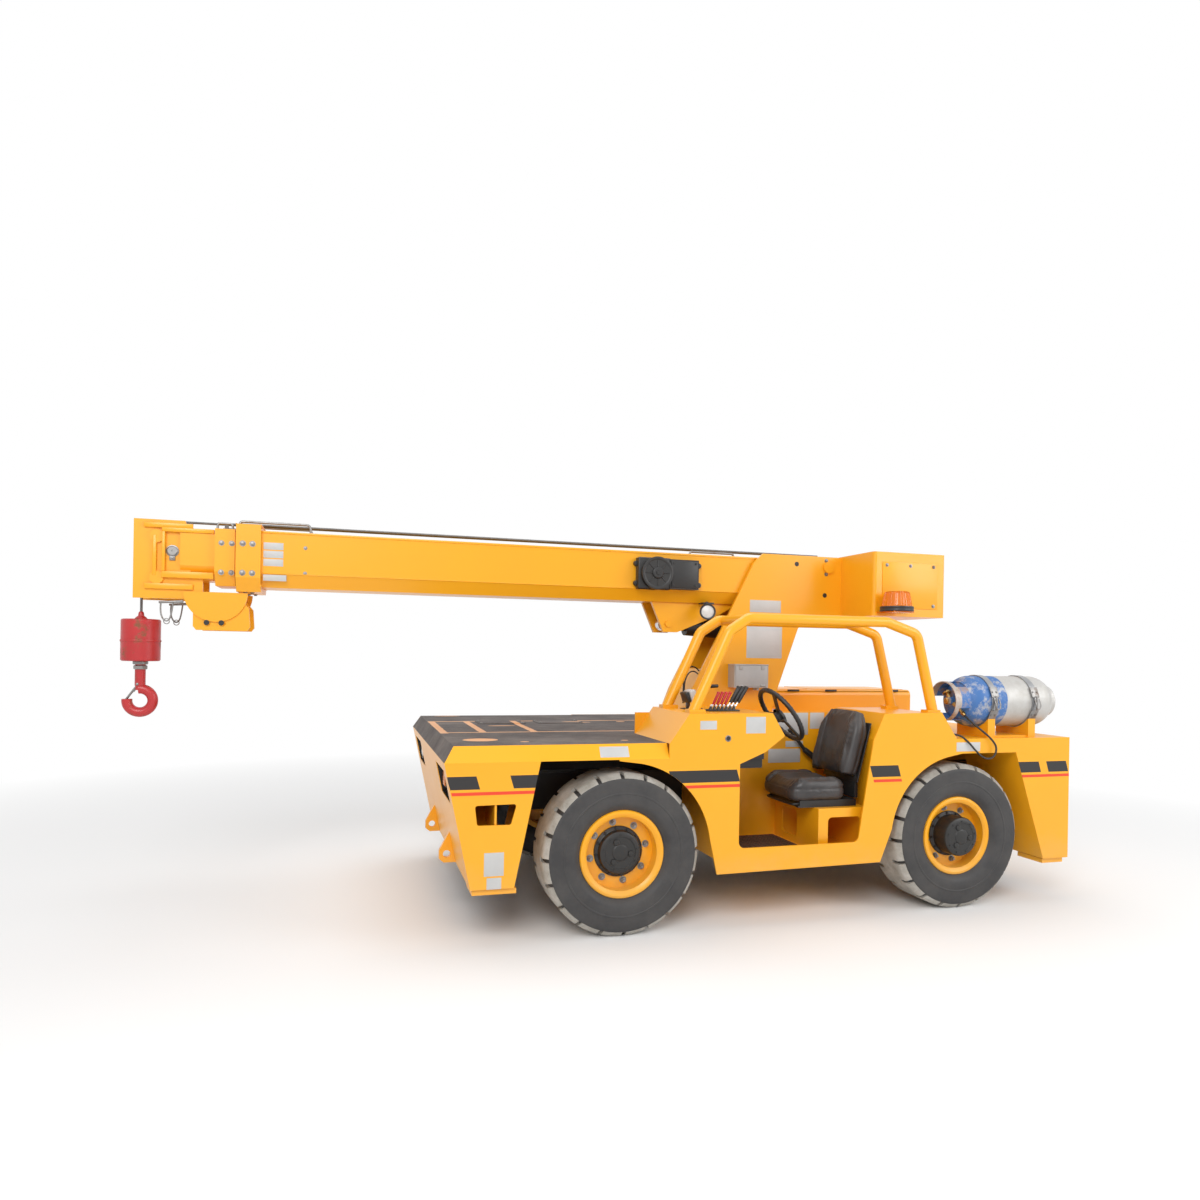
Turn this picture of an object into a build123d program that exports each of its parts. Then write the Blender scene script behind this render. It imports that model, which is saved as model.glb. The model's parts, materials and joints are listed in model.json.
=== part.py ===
from build123d import *
import os
from math import cos, hypot, radians, sin

# Carry deck crane, millimetres. X forward, Y to the operator's left, Z up from the floor.
# The origin is on the floor, midway between the rear face and the front of the hook block.

# Body width and running gear
body_half = 984
wheelbase = 2032
front_axle_x = 150
rear_axle_x = front_axle_x - wheelbase
rear_overhang = 768
tail_x = rear_axle_x - rear_overhang
wheel_y = body_half - 150
tyre_radius = 415
tyre_width = 280
rim_radius = 218.5
rim_width = 230
rim_wall = 15
tyre_shoulder = 36
tyre_edge_radius = 372
bead_y = 84
tread_facets = 30
tread_gap = 16
tread_depth = 15
tread_reach = 88
disc_y = 20
disc_t = 14
hub_radius = 98
hub_inner = 60
front_hub_face = 78
rear_hub_face = 150
spindle_radius = 50
spindle_end = 10
kingpin_y = wheel_y - 194
kingpin_radius = 25
knuckle_radius = 45
knuckle_half = 95
yoke_gap = 5
yoke_arm = 32
yoke_half = 55
yoke_reach = 48
axle_radius = 75
axle_end = kingpin_y - 120
diff_radius = 165
pin_clearance = 0.3

# Body shell
skin = 10
deck_z = 977
fold_z = 900
fold_inset = 45
nose_x = 1056
nose_low_x = 924
nose_top_inset = 48
sill_z = 291
tail_sill_z = 258
arch_top_z = 893
arch_radius = 470
arch_start = 80
arch_end = 8
front_arch_top_x = 589
front_arch_low_x = 712
rear_arch_top_x = rear_axle_x - 376
rear_arch_low_x = rear_axle_x - 586
front_sill_x = front_axle_x - 508
rear_sill_x = rear_axle_x + 538
rear_sill_z = sill_z + 10
cowl_x = -83
cowl_top_x = -191
cowl_z = 1130
cowl_rear_x = -667
cowl_lip_x = -741
cowl_lip_z = 1008
door_front_x = -480
door_top_z = 864
door_sill_z = 420
door_rear_x = rear_axle_x + 681
door_rear_top_x = rear_axle_x + 591
door_round = 35
housing_front_x = rear_axle_x + 523
housing_rear_x = rear_axle_x + 146
housing_end_x = rear_axle_x + 41
housing_z = cowl_z - 8
cowl_nick = (-630, 925)
arch_wall_y = wheel_y - 304
arch_lip = 34
bulkhead_t = 10
front_bulkhead_z = 430
rear_bulkhead_z = 400
window = [(908, 695), (704, 697), (732, 597), (896, 599)]
window_round = 12
housing_setback = 40
pocket_in = 480
pocket_out = 868
pocket_low = 690
pocket_high = 850
pocket_depth = 70
lamp_radius = 62
lamp_depth = 46
lamp_y = 760
lug_y = 405
lug_t = 30
lug_top = 456
lug_eye_x = 972
lug_eye_z = 337
lug_eye_radius = 20
lug_wall = 20

# Frame rails and slew seat
rail_in = 300
rail_out = 420
rail_low = 560
rail_top = 760
rail_front_x = 958
crossmember_xs = (front_axle_x + 610, -420, rear_axle_x + 562, rear_axle_x - 318)
crossmember_width = 90
crossmember_lift = 30
seat_plate_t = 20
pedestal_radius = 350
slew_x = -830
ring_radius = 375
ring_wall = 90
ring_z0 = 977
ring_z1 = 1055
well_y = 440
hood_front_x = rear_axle_x + 982
hood_rear_x = tail_x + 50
hood_z = 1190
hood_round = 40
louvre_count = 12
louvre_pitch = 110
louvre_width = 80
louvre_low = 1040
louvre_high = 1130
engine_front_x = front_axle_x - 610
engine_rear_x = rear_axle_x + 592
engine_low = 520
engine_top = 950
engine_out_y = body_half - 124

# Operator place
floor_z = 350
firewall_x = -390
shelf_z = 858
tub_t = 8
tub_wall_z = deck_z + 120
rear_wall_x = rear_axle_x + 552
seat_y = body_half - 269
seat_half = 205
seat_box_front_x = rear_wall_x + 345
seat_box_rear_x = rear_wall_x + 40
seat_box_out = body_half - 54
seat_box_z = 600
seat_box_wall = 12
slide_t = 38
cushion_front_x = rear_wall_x + 530
cushion_rear_x = rear_wall_x + 130
cushion_t = 115
back_t = 110
back_height = 380
back_lean = 14
column_radius = 24
wheel_hub_x = -863
wheel_hub_z = 1102
wheel_face = 35
steer_ring_radius = 168
steer_grip = 13
steer_boss = 30
spoke_width = 26
column_low = 185
column_top = 37
lever_count = 7
lever_y = body_half - 174
lever_x = -382
lever_pitch = 23
lever_lean = 42
lever_height = 118
lever_radius = 7
grip_radius = 10

# Fuel gas tank
tank_x = rear_axle_x - 388
tank_y = body_half - 164
tank_z = 1185
tank_radius = 150
tank_length = 640
tank_dome = 105
collar_radius = 116
collar_length = 118
collar_wall = 5
collar_window = 70
foot_ring = 96
saddle_half = 130
saddle_t = 50
saddle_xs = (tank_x + 160, tank_x - 130)
strap_t = 6
strap_width = 40

# Guard
guard_tube = 29
guard_y = body_half - 42
guard_inner_y = body_half - 422
guard_bend = 60
guard_foot_t = 8
guard_foot_half = 31
guard_front_x = -228
guard_knee_x = -425
guard_bow_x = -535

# Outriggers
pad_t = 25
pad_gap = 5
pad_width = 190
pad_y = body_half - 112
front_pad_x = 806
front_pad_length = 216
rear_pad_x = rear_axle_x - 670
rear_pad_length = 150
leg_size = 90
leg_length = 430
sleeve_start = 95
sleeve_wall = 10
leg_clearance = 0.5
leg_lean = 40

# Turret, with its heights set from the top of the boom
boom_top = 2057
boom_low = boom_top - 300
base_plate_t = 30
mast_inner = 172
mast_t = 20
pivot_x = -1479
pivot_z = boom_top - 45
pivot_radius = 38
pivot_cap = 14
mast_front_low_x = -470
mast_front_knee = (-533, 1214)
mast_front_top = (-768, boom_top - 388)
mast_shoulder = (-947, boom_top - 36)
mast_top_x = -1010
mast_top_z = boom_top + 23
mast_tail_z = boom_top - 357
mast_rear_top = (-1265, boom_top - 446)
mast_rear_step = (-1318, boom_top - 385)
mast_rear_knee = (-1125, 1223)
mast_rear_low_x = -1080
front_web_z = boom_top - 713
rear_web_z = boom_top - 607
web_inset = 30
tail_front_x = -1575
tail_rear_x = -2095
tail_half = 549
tail_low = boom_top - 367
tail_top = boom_top + 28
tail_round = 20
rope_slot = 100
guard_top = tail_low - 56
tail_wall = 12
beacon_x = -1668
beacon_out = 102
beacon_z = tail_low + 25
beacon_radius = 95
beacon_base_t = 26
beacon_height = 92

control_box_front_x = -780
control_box_rear_x = -1010
control_box_low = 1235
control_box_top = 1375
control_box_depth = 90

# Boom
boom_half = 160
boom_fold = 73
boom_fold_in = 46
boom_wall = 6
step_gap = 8
boom_rear_x = -1545
base_end_x = 2074
collar_a_x = 1951
collar_a_rise = 28
collar_b_end_x = 2180
collar_b_rise = 0
tip_end_x = 2350
head_x = 2572
head_low = boom_top - 376
head_top = boom_top + 36
cheek_half = 117
cheek_t = 16
sheave_radius = 99
groove_depth = 12
sheave_width = 40
rope_radius = 6.5
main_sheave_z = boom_top - 267
sheave_pin = 24
sheave_boss = 34
idler_arc = 90
fall_gap = 52
rope_z = boom_top + 43
wrap_angle = 85
rope_pitch = 22
tie_front_x = 2286
tie_rear_x = 2005
tie_low = boom_top - 537
tie_hole_z = boom_top - 500
tie_hole_radius = 12
round_plate_x = 2175
round_plate_z = boom_top - 335
round_plate_radius = 157
round_plate_t = 10
head_rear_x = 2240
head_notch_z = boom_top - 257
head_plate_t = 12
mid_setback = 230
tip_setback = 330
shoe_length = 60
reel_x = -279
reel_z = boom_top - 136
reel_radius = 98
reel_depth = 90
reel_box = (-558, -370)
reel_box_half = 90
reel_box_depth = 60
flood_x = -640
flood_z = boom_low - 57
flood_radius = 42

# Lift cylinder
eye_x = -410
eye_z = boom_top - 435
lift_base_x = -1200
lift_base_z = boom_top - 482
barrel_radius = 58
lift_pin = 34
rod_radius = 32
barrel_length = 640
eye_radius = 40
eye_half = 27
eye_pin = 20
bracket_in = 72
bracket_t = 25

# Hook
hook_x = 2555
block_radius = 95
block_top = main_sheave_z - 217
block_low = block_top - 223
hook_low = block_low - 298
hook_ring = 62
hook_bar = 26

wrap_radius = sheave_radius - groove_depth + rope_radius + pin_clearance
sheave_x = hook_x - wrap_radius
sheave_z = rope_z - wrap_radius
plate_low = ring_z1
tie_hole_xs = (2212, 2137)


def block(x0, x1, y0, y1, z0, z1):
    """A box given by its two corners."""
    return Pos((x0 + x1) / 2, (y0 + y1) / 2, (z0 + z1) / 2) * Box(abs(x1 - x0), abs(y1 - y0), abs(z1 - z0))


def side_plate(points, y0, y1, round_at=(), radius=0):
    """An outline in the X-Z plane made a plate between two Y values. A middle point of three in a
    list is on an arc. Corners in round_at are rounded."""
    edges = []
    here = points[0]
    for step in points[1:] + [points[0]]:
        if isinstance(step, list):
            middle, end = step
            edges.append(ThreePointArc(*[(x, y0, z) for x, z in (here, middle, end)]))
            here = end
        else:
            edges.append(Line((here[0], y0, here[1]), (step[0], y0, step[1])))
            here = step
    face = make_face(edges)
    if round_at:
        corners = [v for v in face.vertices() if any(hypot(v.X - x, v.Z - z) < 1 for x, z in round_at)]
        face = fillet(corners, radius)
    return extrude(face, amount=abs(y1 - y0), dir=(0, 1 if y1 > y0 else -1, 0))


def cross_plate(points, x0, x1):
    """An outline in the Y-Z plane made a plate between two X values."""
    outline = Polyline(*[(x0, y, z) for y, z in points], close=True)
    return extrude(make_face(outline), amount=abs(x1 - x0), dir=(1 if x1 > x0 else -1, 0, 0))


def bar(start, end, radius):
    """A round bar between two points."""
    line = Vector(*end) - Vector(*start)
    upright = (Align.CENTER, Align.CENTER, Align.MIN)
    return Plane(origin=start, z_dir=line) * Cylinder(radius, line.length, align=upright)


def cross_bar(x, z, y0, y1, radius):
    """A round bar along Y."""
    return bar((x, min(y0, y1), z), (x, max(y0, y1), z), radius)


def bent_tube(points, radius, bend):
    """A round tube along straight runs with bent corners."""
    path = FilletPolyline(*points, radius=bend)
    ring = Plane(origin=path @ 0, z_dir=path % 0) * Circle(radius)
    return sweep(ring, path=path)


def mirrored(piece):
    return mirror(piece, about=Plane.XZ)


def save(name, piece):
    export_step(piece, os.path.join("parts", name + ".step"))


def arch_point(axle_x, sign, angle):
    """A point on a wheel arch's curve, at an angle above the axle's level."""
    return axle_x + sign * arch_radius * cos(radians(angle)), tyre_radius + arch_radius * sin(radians(angle))


# Frame rails, crossmembers and the slew pedestal
def build_frame():
    rails = Part()
    for side in (1, -1):
        rails += block(tail_x + skin, rail_front_x, side * rail_in, side * rail_out, rail_low, rail_top)
    for x in crossmember_xs:
        rails += block(x, x - crossmember_width, -rail_in, rail_in, rail_low + crossmember_lift, rail_top)
    seat = Pos(slew_x, 0, (rail_top + ring_z0) / 2) * Cylinder(pedestal_radius, ring_z0 - rail_top)
    plate = block(slew_x - rail_out, slew_x + rail_out, -rail_out, rail_out, rail_top, rail_top + seat_plate_t)
    return rails + plate + seat


def build_slew_ring():
    height = ring_z1 - ring_z0
    ring = Cylinder(ring_radius, height) - Cylinder(ring_radius - ring_wall, height + 2)
    return Pos(slew_x, 0, ring_z0 + height / 2) * ring


# Decks
def deck_solid(drop):
    outer_low = [(cowl_x, -body_half + drop), (nose_x - drop, -body_half + drop),
                 (nose_x - drop, body_half - drop), (cowl_x, body_half - drop)]
    top_half = body_half - fold_inset - drop
    outer_top = [(cowl_x, -top_half), (nose_x - nose_top_inset - drop, -top_half),
                 (nose_x - nose_top_inset - drop, top_half), (cowl_x, top_half)]
    low_face = make_face(Polyline(*[(x, y, fold_z) for x, y in outer_low], close=True))
    top_face = make_face(Polyline(*[(x, y, deck_z - drop) for x, y in outer_top], close=True))
    return loft([low_face, top_face])


def build_deck_front():
    return deck_solid(0) - deck_solid(skin)


def build_deck_rear():
    out = body_half - skin
    strip = block(tail_x + skin, cowl_x, -well_y, well_y - 8, deck_z - skin, deck_z)
    rear = block(tail_x + skin, housing_end_x, -out, out, deck_z - skin, deck_z)
    right = block(housing_end_x, cowl_x, -out, -well_y, deck_z - skin, deck_z)
    hole = Pos(slew_x, 0, deck_z) * Cylinder(pedestal_radius + 1, 4 * skin)
    return strip + rear + right - hole


# Outrigger leg, its pad and its sleeve
def leg_frame(x, z):
    return Plane(origin=(x, pad_y, z), x_dir=(1, 0, 0), z_dir=(0, -sin(radians(leg_lean)), cos(radians(leg_lean))))


def build_outrigger(x, length, z):
    top = z + pad_t
    leg = leg_frame(x, top) * Pos(0, 0, leg_length / 2 - 60) * Box(leg_size, leg_size, leg_length + 120)
    leg = leg - block(x - leg_size, x + leg_size, 0, 2 * body_half, top - 400, top)
    pad = block(x - length / 2, x + length / 2, pad_y - pad_width / 2, pad_y + pad_width / 2, z, top)
    return leg + pad


def build_sleeve(x, z):
    inner = leg_size + 2 * leg_clearance
    length = leg_length - sleeve_start
    shell = Box(inner + 2 * sleeve_wall, inner + 2 * sleeve_wall, length) - Box(inner, inner, leg_length)
    return leg_frame(x, z + pad_t) * Pos(0, 0, sleeve_start + length / 2) * shell


def leg_passage(x, z):
    inner = leg_size + 2 * leg_clearance
    return leg_frame(x, z + pad_t) * Pos(0, 0, leg_length / 2) * Box(inner, inner, leg_length + 40)


# Front body: slanted nose plate, corner sides, arch walls, sleeves and tow lugs
def build_front_body():
    front_pad_z = sill_z - pad_gap - pad_t
    inner = body_half - skin
    nose = [(nose_x, fold_z), (nose_low_x, sill_z), (nose_low_x - skin, sill_z), (nose_x - skin, fold_z)]
    corner = [(nose_x, fold_z), (nose_low_x, sill_z), (front_arch_low_x, sill_z), (front_arch_top_x, fold_z)]
    wall = [(front_arch_top_x, fold_z), (front_arch_low_x, sill_z), (front_arch_low_x + skin, sill_z),
            (front_arch_top_x + skin, fold_z)]
    body = side_plate(nose, -body_half, body_half)
    for side in (1, -1):
        flank = side_plate(corner, side * inner, side * body_half)
        flank -= side_plate(window, side * (inner - skin), side * (body_half + skin), window, window_round)
        body += flank
        body += side_plate(wall, side * arch_wall_y, side * inner)
        body += block(front_pad_x - bulkhead_t / 2, front_pad_x + bulkhead_t / 2, side * rail_out, side * inner,
                      front_bulkhead_z, fold_z - skin)
        body -= side_plate(pocket_outline(pocket_depth, skin), side * pocket_in, side * pocket_out)
        body += lamp_pocket(side)
    left = build_sleeve(front_pad_x, front_pad_z)
    hole = leg_passage(front_pad_x, front_pad_z)
    return body - hole - mirrored(hole) + left + mirrored(left)


def pocket_outline(depth, out):
    """The pocket's section behind the nose plate, and out past its front face."""
    return [(nose_at(pocket_high) + out, pocket_high), (nose_at(pocket_low) + out, pocket_low),
            (nose_at(pocket_low) - depth, pocket_low), (nose_at(pocket_high) - depth, pocket_high)]


def lamp_pocket(side):
    """A box let into the nose plate, with a round lamp on its back wall."""
    shell = [(nose_at(pocket_high), pocket_high + skin), (nose_at(pocket_low), pocket_low - skin),
             (nose_at(pocket_low) - pocket_depth - skin, pocket_low - skin),
             (nose_at(pocket_high) - pocket_depth - skin, pocket_high + skin)]
    box = side_plate(shell, side * (pocket_in - skin), side * (pocket_out + skin))
    box -= side_plate(pocket_outline(pocket_depth, 4 * skin), side * pocket_in, side * pocket_out)
    box &= side_plate([(nose_x, fold_z), (nose_low_x, sill_z), (0, sill_z), (0, fold_z)],
                      -body_half, body_half)
    z = (pocket_low + pocket_high) / 2
    back = nose_at(z) - pocket_depth
    return box + bar((back - 1, side * lamp_y, z), (back + lamp_depth, side * lamp_y, z), lamp_radius)


# Two drilled lugs on the nose plate
def nose_at(z):
    """X of the nose plate's front face at a height."""
    return nose_low_x + (nose_x - nose_low_x) * (z - sill_z) / (fold_z - sill_z)


def build_tow_lugs():
    front = lug_eye_x + lug_eye_radius + lug_wall
    outline = [(nose_at(lug_top), lug_top), (front, lug_eye_z + 20), (front, lug_eye_z - 25), (front - 25, sill_z),
               (nose_low_x, sill_z)]
    lug = side_plate(outline, lug_y - lug_t / 2, lug_y + lug_t / 2)
    lug -= cross_bar(lug_eye_x, lug_eye_z, lug_y - lug_t, lug_y + lug_t, lug_eye_radius)
    return Compound([lug, mirrored(lug)])


def side_outline(door):
    front_top, front_low = arch_point(front_axle_x, -1, arch_start), arch_point(front_axle_x, -1, arch_end)
    rear_top, rear_low = arch_point(rear_axle_x, 1, arch_start), arch_point(rear_axle_x, 1, arch_end)
    half_way = (arch_start + arch_end) / 2
    outline = [(front_axle_x + arch_lip, fold_z), (front_axle_x + arch_lip, arch_top_z), front_top,
               [arch_point(front_axle_x, -1, half_way), front_low], (front_sill_x, sill_z),
               (rear_sill_x, rear_sill_z), rear_low, [arch_point(rear_axle_x, 1, half_way), rear_top],
               (rear_axle_x, arch_top_z), (rear_arch_top_x, arch_top_z), (rear_arch_low_x, tail_sill_z),
               (tail_x, tail_sill_z), (tail_x, deck_z)]
    if door:
        outline += [(housing_end_x, deck_z), (housing_rear_x, cowl_z), (housing_front_x, housing_z),
                    (door_rear_top_x, deck_z), (door_rear_x, door_sill_z), (door_front_x, door_sill_z),
                    (door_front_x, door_top_z), cowl_nick, (cowl_lip_x, cowl_lip_z), (cowl_rear_x, cowl_z),
                    (cowl_top_x, cowl_z)]
    return outline + [(cowl_x, deck_z), (cowl_x, fold_z)]


def build_side_left():
    corners = [(door_rear_x, door_sill_z), (door_front_x, door_sill_z)]
    return side_plate(side_outline(True), body_half - skin, body_half, corners, door_round)


def build_side_right():
    return side_plate(side_outline(False), -body_half + skin, -body_half)


# Rear body: back plate, arch walls behind the wheels, bulkheads with sleeves
def build_rear_body():
    rear_pad_z = tail_sill_z - pad_gap - pad_t
    inner = body_half - skin
    body = block(tail_x, tail_x + skin, -inner, inner, tail_sill_z, deck_z - skin)
    wall = [(rear_arch_top_x, arch_top_z), (rear_arch_low_x, tail_sill_z), (rear_arch_low_x - skin, tail_sill_z),
            (rear_arch_top_x - skin, arch_top_z)]
    inside = [(tail_x + skin, tail_sill_z), (rear_arch_low_x - skin, tail_sill_z),
              (rear_arch_top_x - skin, arch_top_z), (rear_arch_top_x - skin, deck_z - skin),
              (tail_x + skin, deck_z - skin)]
    for side in (1, -1):
        body += side_plate(wall, side * arch_wall_y, side * inner)
        body += block(rear_pad_x - bulkhead_t / 2, rear_pad_x + bulkhead_t / 2, side * rail_out, side * inner,
                      rear_bulkhead_z, deck_z - skin)
        body += side_plate(inside, side * (arch_wall_y + tub_t), side * arch_wall_y)
    left = build_sleeve(rear_pad_x, rear_pad_z)
    hole = leg_passage(rear_pad_x, rear_pad_z)
    return body - hole - mirrored(hole) + left + mirrored(left)


# Cowl in front of the operator and housing behind the seat
def build_cowl():
    y1 = body_half - skin
    top = side_plate([(cowl_x, deck_z), (cowl_top_x, cowl_z), (cowl_rear_x, cowl_z), (cowl_lip_x, cowl_lip_z),
                      (cowl_lip_x + 10, cowl_lip_z), (cowl_rear_x + 5, cowl_z - skin), (cowl_top_x - 6, cowl_z - skin),
                      (cowl_x - 14, deck_z)], well_y, y1)
    return top - bar(column_point(-260), column_point(0), column_radius * 1.4 + 6)


def build_rear_housing():
    front = door_rear_top_x - housing_setback
    brow = housing_front_x - housing_setback
    outline = [(front, shelf_z), (front, deck_z), (brow, housing_z), (housing_rear_x, housing_z),
               (housing_end_x, deck_z), (housing_end_x + 14, deck_z), (housing_rear_x + 6, housing_z - skin),
               (brow - 6, housing_z - skin), (front - skin, deck_z), (front - skin, shelf_z)]
    return side_plate(outline, well_y, body_half - skin)


def build_operator_tub():
    y1 = body_half - skin
    tub = block(rear_wall_x, firewall_x, well_y, y1, floor_z, floor_z + tub_t)
    tub += block(firewall_x, firewall_x + tub_t, well_y, y1, floor_z, shelf_z)
    tub += block(firewall_x, cowl_x, well_y, y1, shelf_z - tub_t, shelf_z)
    tub += block(rear_wall_x - tub_t, rear_wall_x, well_y, y1, floor_z, shelf_z)
    tub += block(housing_end_x, cowl_x, well_y - tub_t, well_y, shelf_z - tub_t, tub_wall_z)
    tub += block(rear_wall_x - tub_t, firewall_x + tub_t, well_y - tub_t, well_y, floor_z, shelf_z)
    return tub


def build_seat_box():
    z0, wall = floor_z + tub_t, seat_box_wall
    x0, x1, y1 = seat_box_rear_x, seat_box_front_x, seat_box_out
    box = block(x0, x1, well_y, y1, z0, seat_box_z)
    box -= block(x0 + wall, x1 - wall, well_y + 60, y1 - wall, z0 - 1, seat_box_z - wall)
    side_hole = block(x0 + 40, x1 - 60, y1 - 2 * wall, y1 + wall, z0 + 30, seat_box_z - 50)
    front_hole = block(x1 - 2 * wall, x1 + wall, well_y + 90, well_y + 260, z0 + 40, seat_box_z - 50)
    side_hole = fillet(side_hole.edges().filter_by(Axis.Y), 25)
    front_hole = fillet(front_hole.edges().filter_by(Axis.X), 25)
    return box - side_hole - front_hole


def build_seat_slide():
    z0 = seat_box_z
    return block(seat_box_rear_x + 40, seat_box_front_x + 90, seat_y - 170, seat_y + 170, z0, z0 + slide_t)


def build_cushion():
    z0 = seat_box_z + slide_t
    pad = block(cushion_rear_x, cushion_front_x, seat_y - seat_half, seat_y + seat_half, z0, z0 + cushion_t)
    return fillet(pad.edges().filter_by(Axis.Z), 60)


def build_back():
    z0 = seat_box_z + slide_t + cushion_t
    pad = Box(back_t, 2 * seat_half, back_height)
    pad = fillet(pad.edges().filter_by(Axis.X), 70)
    lean = Pos(cushion_rear_x - back_t / 2 + 45, seat_y, z0 + 4) * Rot(0, -back_lean, 0) * Pos(0, 0, back_height / 2)
    back = lean * pad
    shoe = block(cushion_rear_x - 90, cushion_rear_x - 2, seat_y - 150, seat_y + 150, seat_box_z + slide_t, z0 + 60)
    return back - block(-3000, 0, 0, 2000, 0, z0 + 0.3) + (shoe - block(-3000, 0, 0, 2000, z0 + 50, 3000))


def build_guard():
    front_z, rear_z = cowl_z + guard_foot_t, housing_z + guard_foot_t
    rear_x, top = housing_rear_x + 31, guard_top
    guard = Part()
    for y in (guard_y, guard_inner_y):
        points = [(guard_front_x, y, front_z), (guard_knee_x, y, top - 74), (guard_bow_x, y, top - 2),
                  (housing_front_x - 31, y, top), (housing_rear_x + 146, y, top - 64), (rear_x, y, rear_z)]
        guard += bent_tube(points, guard_tube, guard_bend)
        y0, y1 = y - guard_foot_half, y + guard_foot_half
        guard += block(guard_front_x - 55, guard_front_x + 35, y0, y1, cowl_z, front_z + 12)
        guard += block(rear_x - 30, rear_x + 55, y0, y1, housing_z, rear_z + 12)
    for x, z in ((guard_bow_x - 25, top - 2), (housing_front_x - 11, top)):
        guard += cross_bar(x, z, guard_inner_y, guard_y, guard_tube * 0.85)
    guard -= block(guard_bow_x, 0, 0, body_half + 50, cowl_z - 100, cowl_z)
    guard -= block(rear_x - 300, rear_x + 200, 0, body_half + 50, housing_z - 100, housing_z)
    return guard


def build_control_levers():
    width = lever_pitch * (lever_count - 1)
    bank = block(lever_x - width - 20, lever_x + 22, lever_y - 40, lever_y + 40, cowl_z, cowl_z + 14)
    for i in range(lever_count):
        x = lever_x - i * lever_pitch
        foot, tip = (x, lever_y, cowl_z + 10), (x - lever_lean, lever_y, cowl_z + lever_height)
        grip = (x - lever_lean * 0.45, lever_y, cowl_z + lever_height * 0.47)
        bank += bar(foot, tip, lever_radius)
        bank += bar(grip, (x - lever_lean * 1.08, lever_y, cowl_z + lever_height * 1.08), grip_radius)
    return bank


def wheel_axis():
    """Direction from the cowl to the driver, along the steering column."""
    return (-cos(radians(wheel_face)), 0, sin(radians(wheel_face)))


def column_point(distance):
    d = wheel_axis()
    return (wheel_hub_x + d[0] * distance, seat_y, wheel_hub_z + d[2] * distance)


def build_steering_column():
    low = column_point(-column_low)
    tube = bar(low, column_point(-column_top - pin_clearance), column_radius)
    post = block(cowl_lip_x + 12, cowl_lip_x + 90, seat_y - 60, seat_y + 60, shelf_z, cowl_lip_z)
    arm = bar(low, (cowl_lip_x + 50, seat_y, cowl_lip_z - 30), column_radius * 1.4)
    pillar = block(cowl_lip_x + 12, firewall_x, seat_y - 40, seat_y + 40, shelf_z - 50, shelf_z)
    return tube + post + arm + pillar


def build_steering_wheel():
    wheel = Torus(steer_ring_radius, steer_grip) + Pos(0, 0, 15 - column_top) * Cylinder(steer_boss, 30)
    for angle in (90, 210, 330):
        wheel += Rot(0, 0, angle) * Pos(steer_ring_radius / 2, 0, -10) * Box(steer_ring_radius, spoke_width, 8)
    return Plane(origin=column_point(0), z_dir=wheel_axis()) * wheel


def build_tank():
    body = Cylinder(tank_radius, tank_length)
    body = fillet(body.edges(), tank_dome)
    start = tank_length / 2 - 40
    middle = start + collar_length / 2
    collar = Pos(0, 0, middle) * Cylinder(collar_radius, collar_length)
    collar -= Pos(0, 0, middle) * Cylinder(collar_radius - collar_wall, collar_length + 2)
    for angle in (45, 165, 285):
        opening = Box(2 * collar_radius, collar_window * 1.5, collar_window)
        collar -= Rot(0, 0, angle) * Pos(collar_radius, 0, middle - 4) * opening
    foot = Pos(0, 0, -tank_length / 2) * (Cylinder(foot_ring, 36) - Cylinder(foot_ring - collar_wall, 40))
    valve = Pos(0, 0, tank_length / 2 + 20) * Cylinder(22, 60)
    return Pos(tank_x, tank_y, tank_z) * Rot(0, 90, 0) * (body + collar + foot + valve)


def build_tank_cradle():
    y0, y1 = tank_y - saddle_half, tank_y + saddle_half
    bore = tank_radius + pin_clearance
    cradle = block(saddle_xs[1] - 30, saddle_xs[0] + 30, y0 + 10, y1 - 10, deck_z, deck_z + 12)
    for x in saddle_xs:
        ring = Pos(x, tank_y, tank_z) * Rot(0, 90, 0)
        saddle = block(x - saddle_t / 2, x + saddle_t / 2, y0, y1, deck_z, tank_z - 55)
        cradle += saddle - ring * Cylinder(bore, 4 * saddle_t)
        cradle += ring * (Cylinder(tank_radius + strap_t, strap_width) - Cylinder(bore, 2 * strap_width))
    return cradle


def build_engine_hood():
    out = body_half - skin
    hood = block(hood_rear_x, hood_front_x, -out, -well_y, deck_z, hood_z)
    hood = fillet(hood.edges().filter_by(Axis.X).group_by(Axis.Z)[-1], hood_round)
    hood -= block(hood_rear_x + skin, hood_front_x - skin, -out + skin, -well_y - skin, deck_z - skin, hood_z - skin)
    for i in range(louvre_count):
        x = hood_front_x - louvre_pitch * (i + 1)
        hood -= block(x - louvre_width / 2, x + louvre_width / 2, -out - skin, -out + 2 * skin, louvre_low, louvre_high)
    return hood


def build_engine():
    return block(engine_rear_x, engine_front_x, -engine_out_y, -rail_out, engine_low, engine_top)


# Axles, knuckles and wheels, drawn at the left end of an axle through the origin
def build_axle(x):
    axle = cross_bar(0, 0, -axle_end, axle_end, axle_radius) + Sphere(diff_radius)
    yoke_z = knuckle_half + yoke_gap
    for side in (1, -1):
        y0, y1 = side * axle_end, side * (kingpin_y - knuckle_radius - 12)
        axle += block(-yoke_half, yoke_half, y0, y1, -yoke_z - yoke_arm, yoke_z + yoke_arm)
        for up in (1, -1):
            arm = block(-yoke_half, yoke_half, y1, side * (kingpin_y + yoke_reach), up * yoke_z,
                        up * (yoke_z + yoke_arm))
            arm -= Pos(0, side * kingpin_y, 0) * Cylinder(kingpin_radius + pin_clearance, 600)
            axle += arm
        axle += block(-yoke_half, yoke_half, side * rail_in, side * rail_out, axle_radius / 2, rail_low - tyre_radius)
    return Pos(x, 0, tyre_radius) * axle


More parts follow.
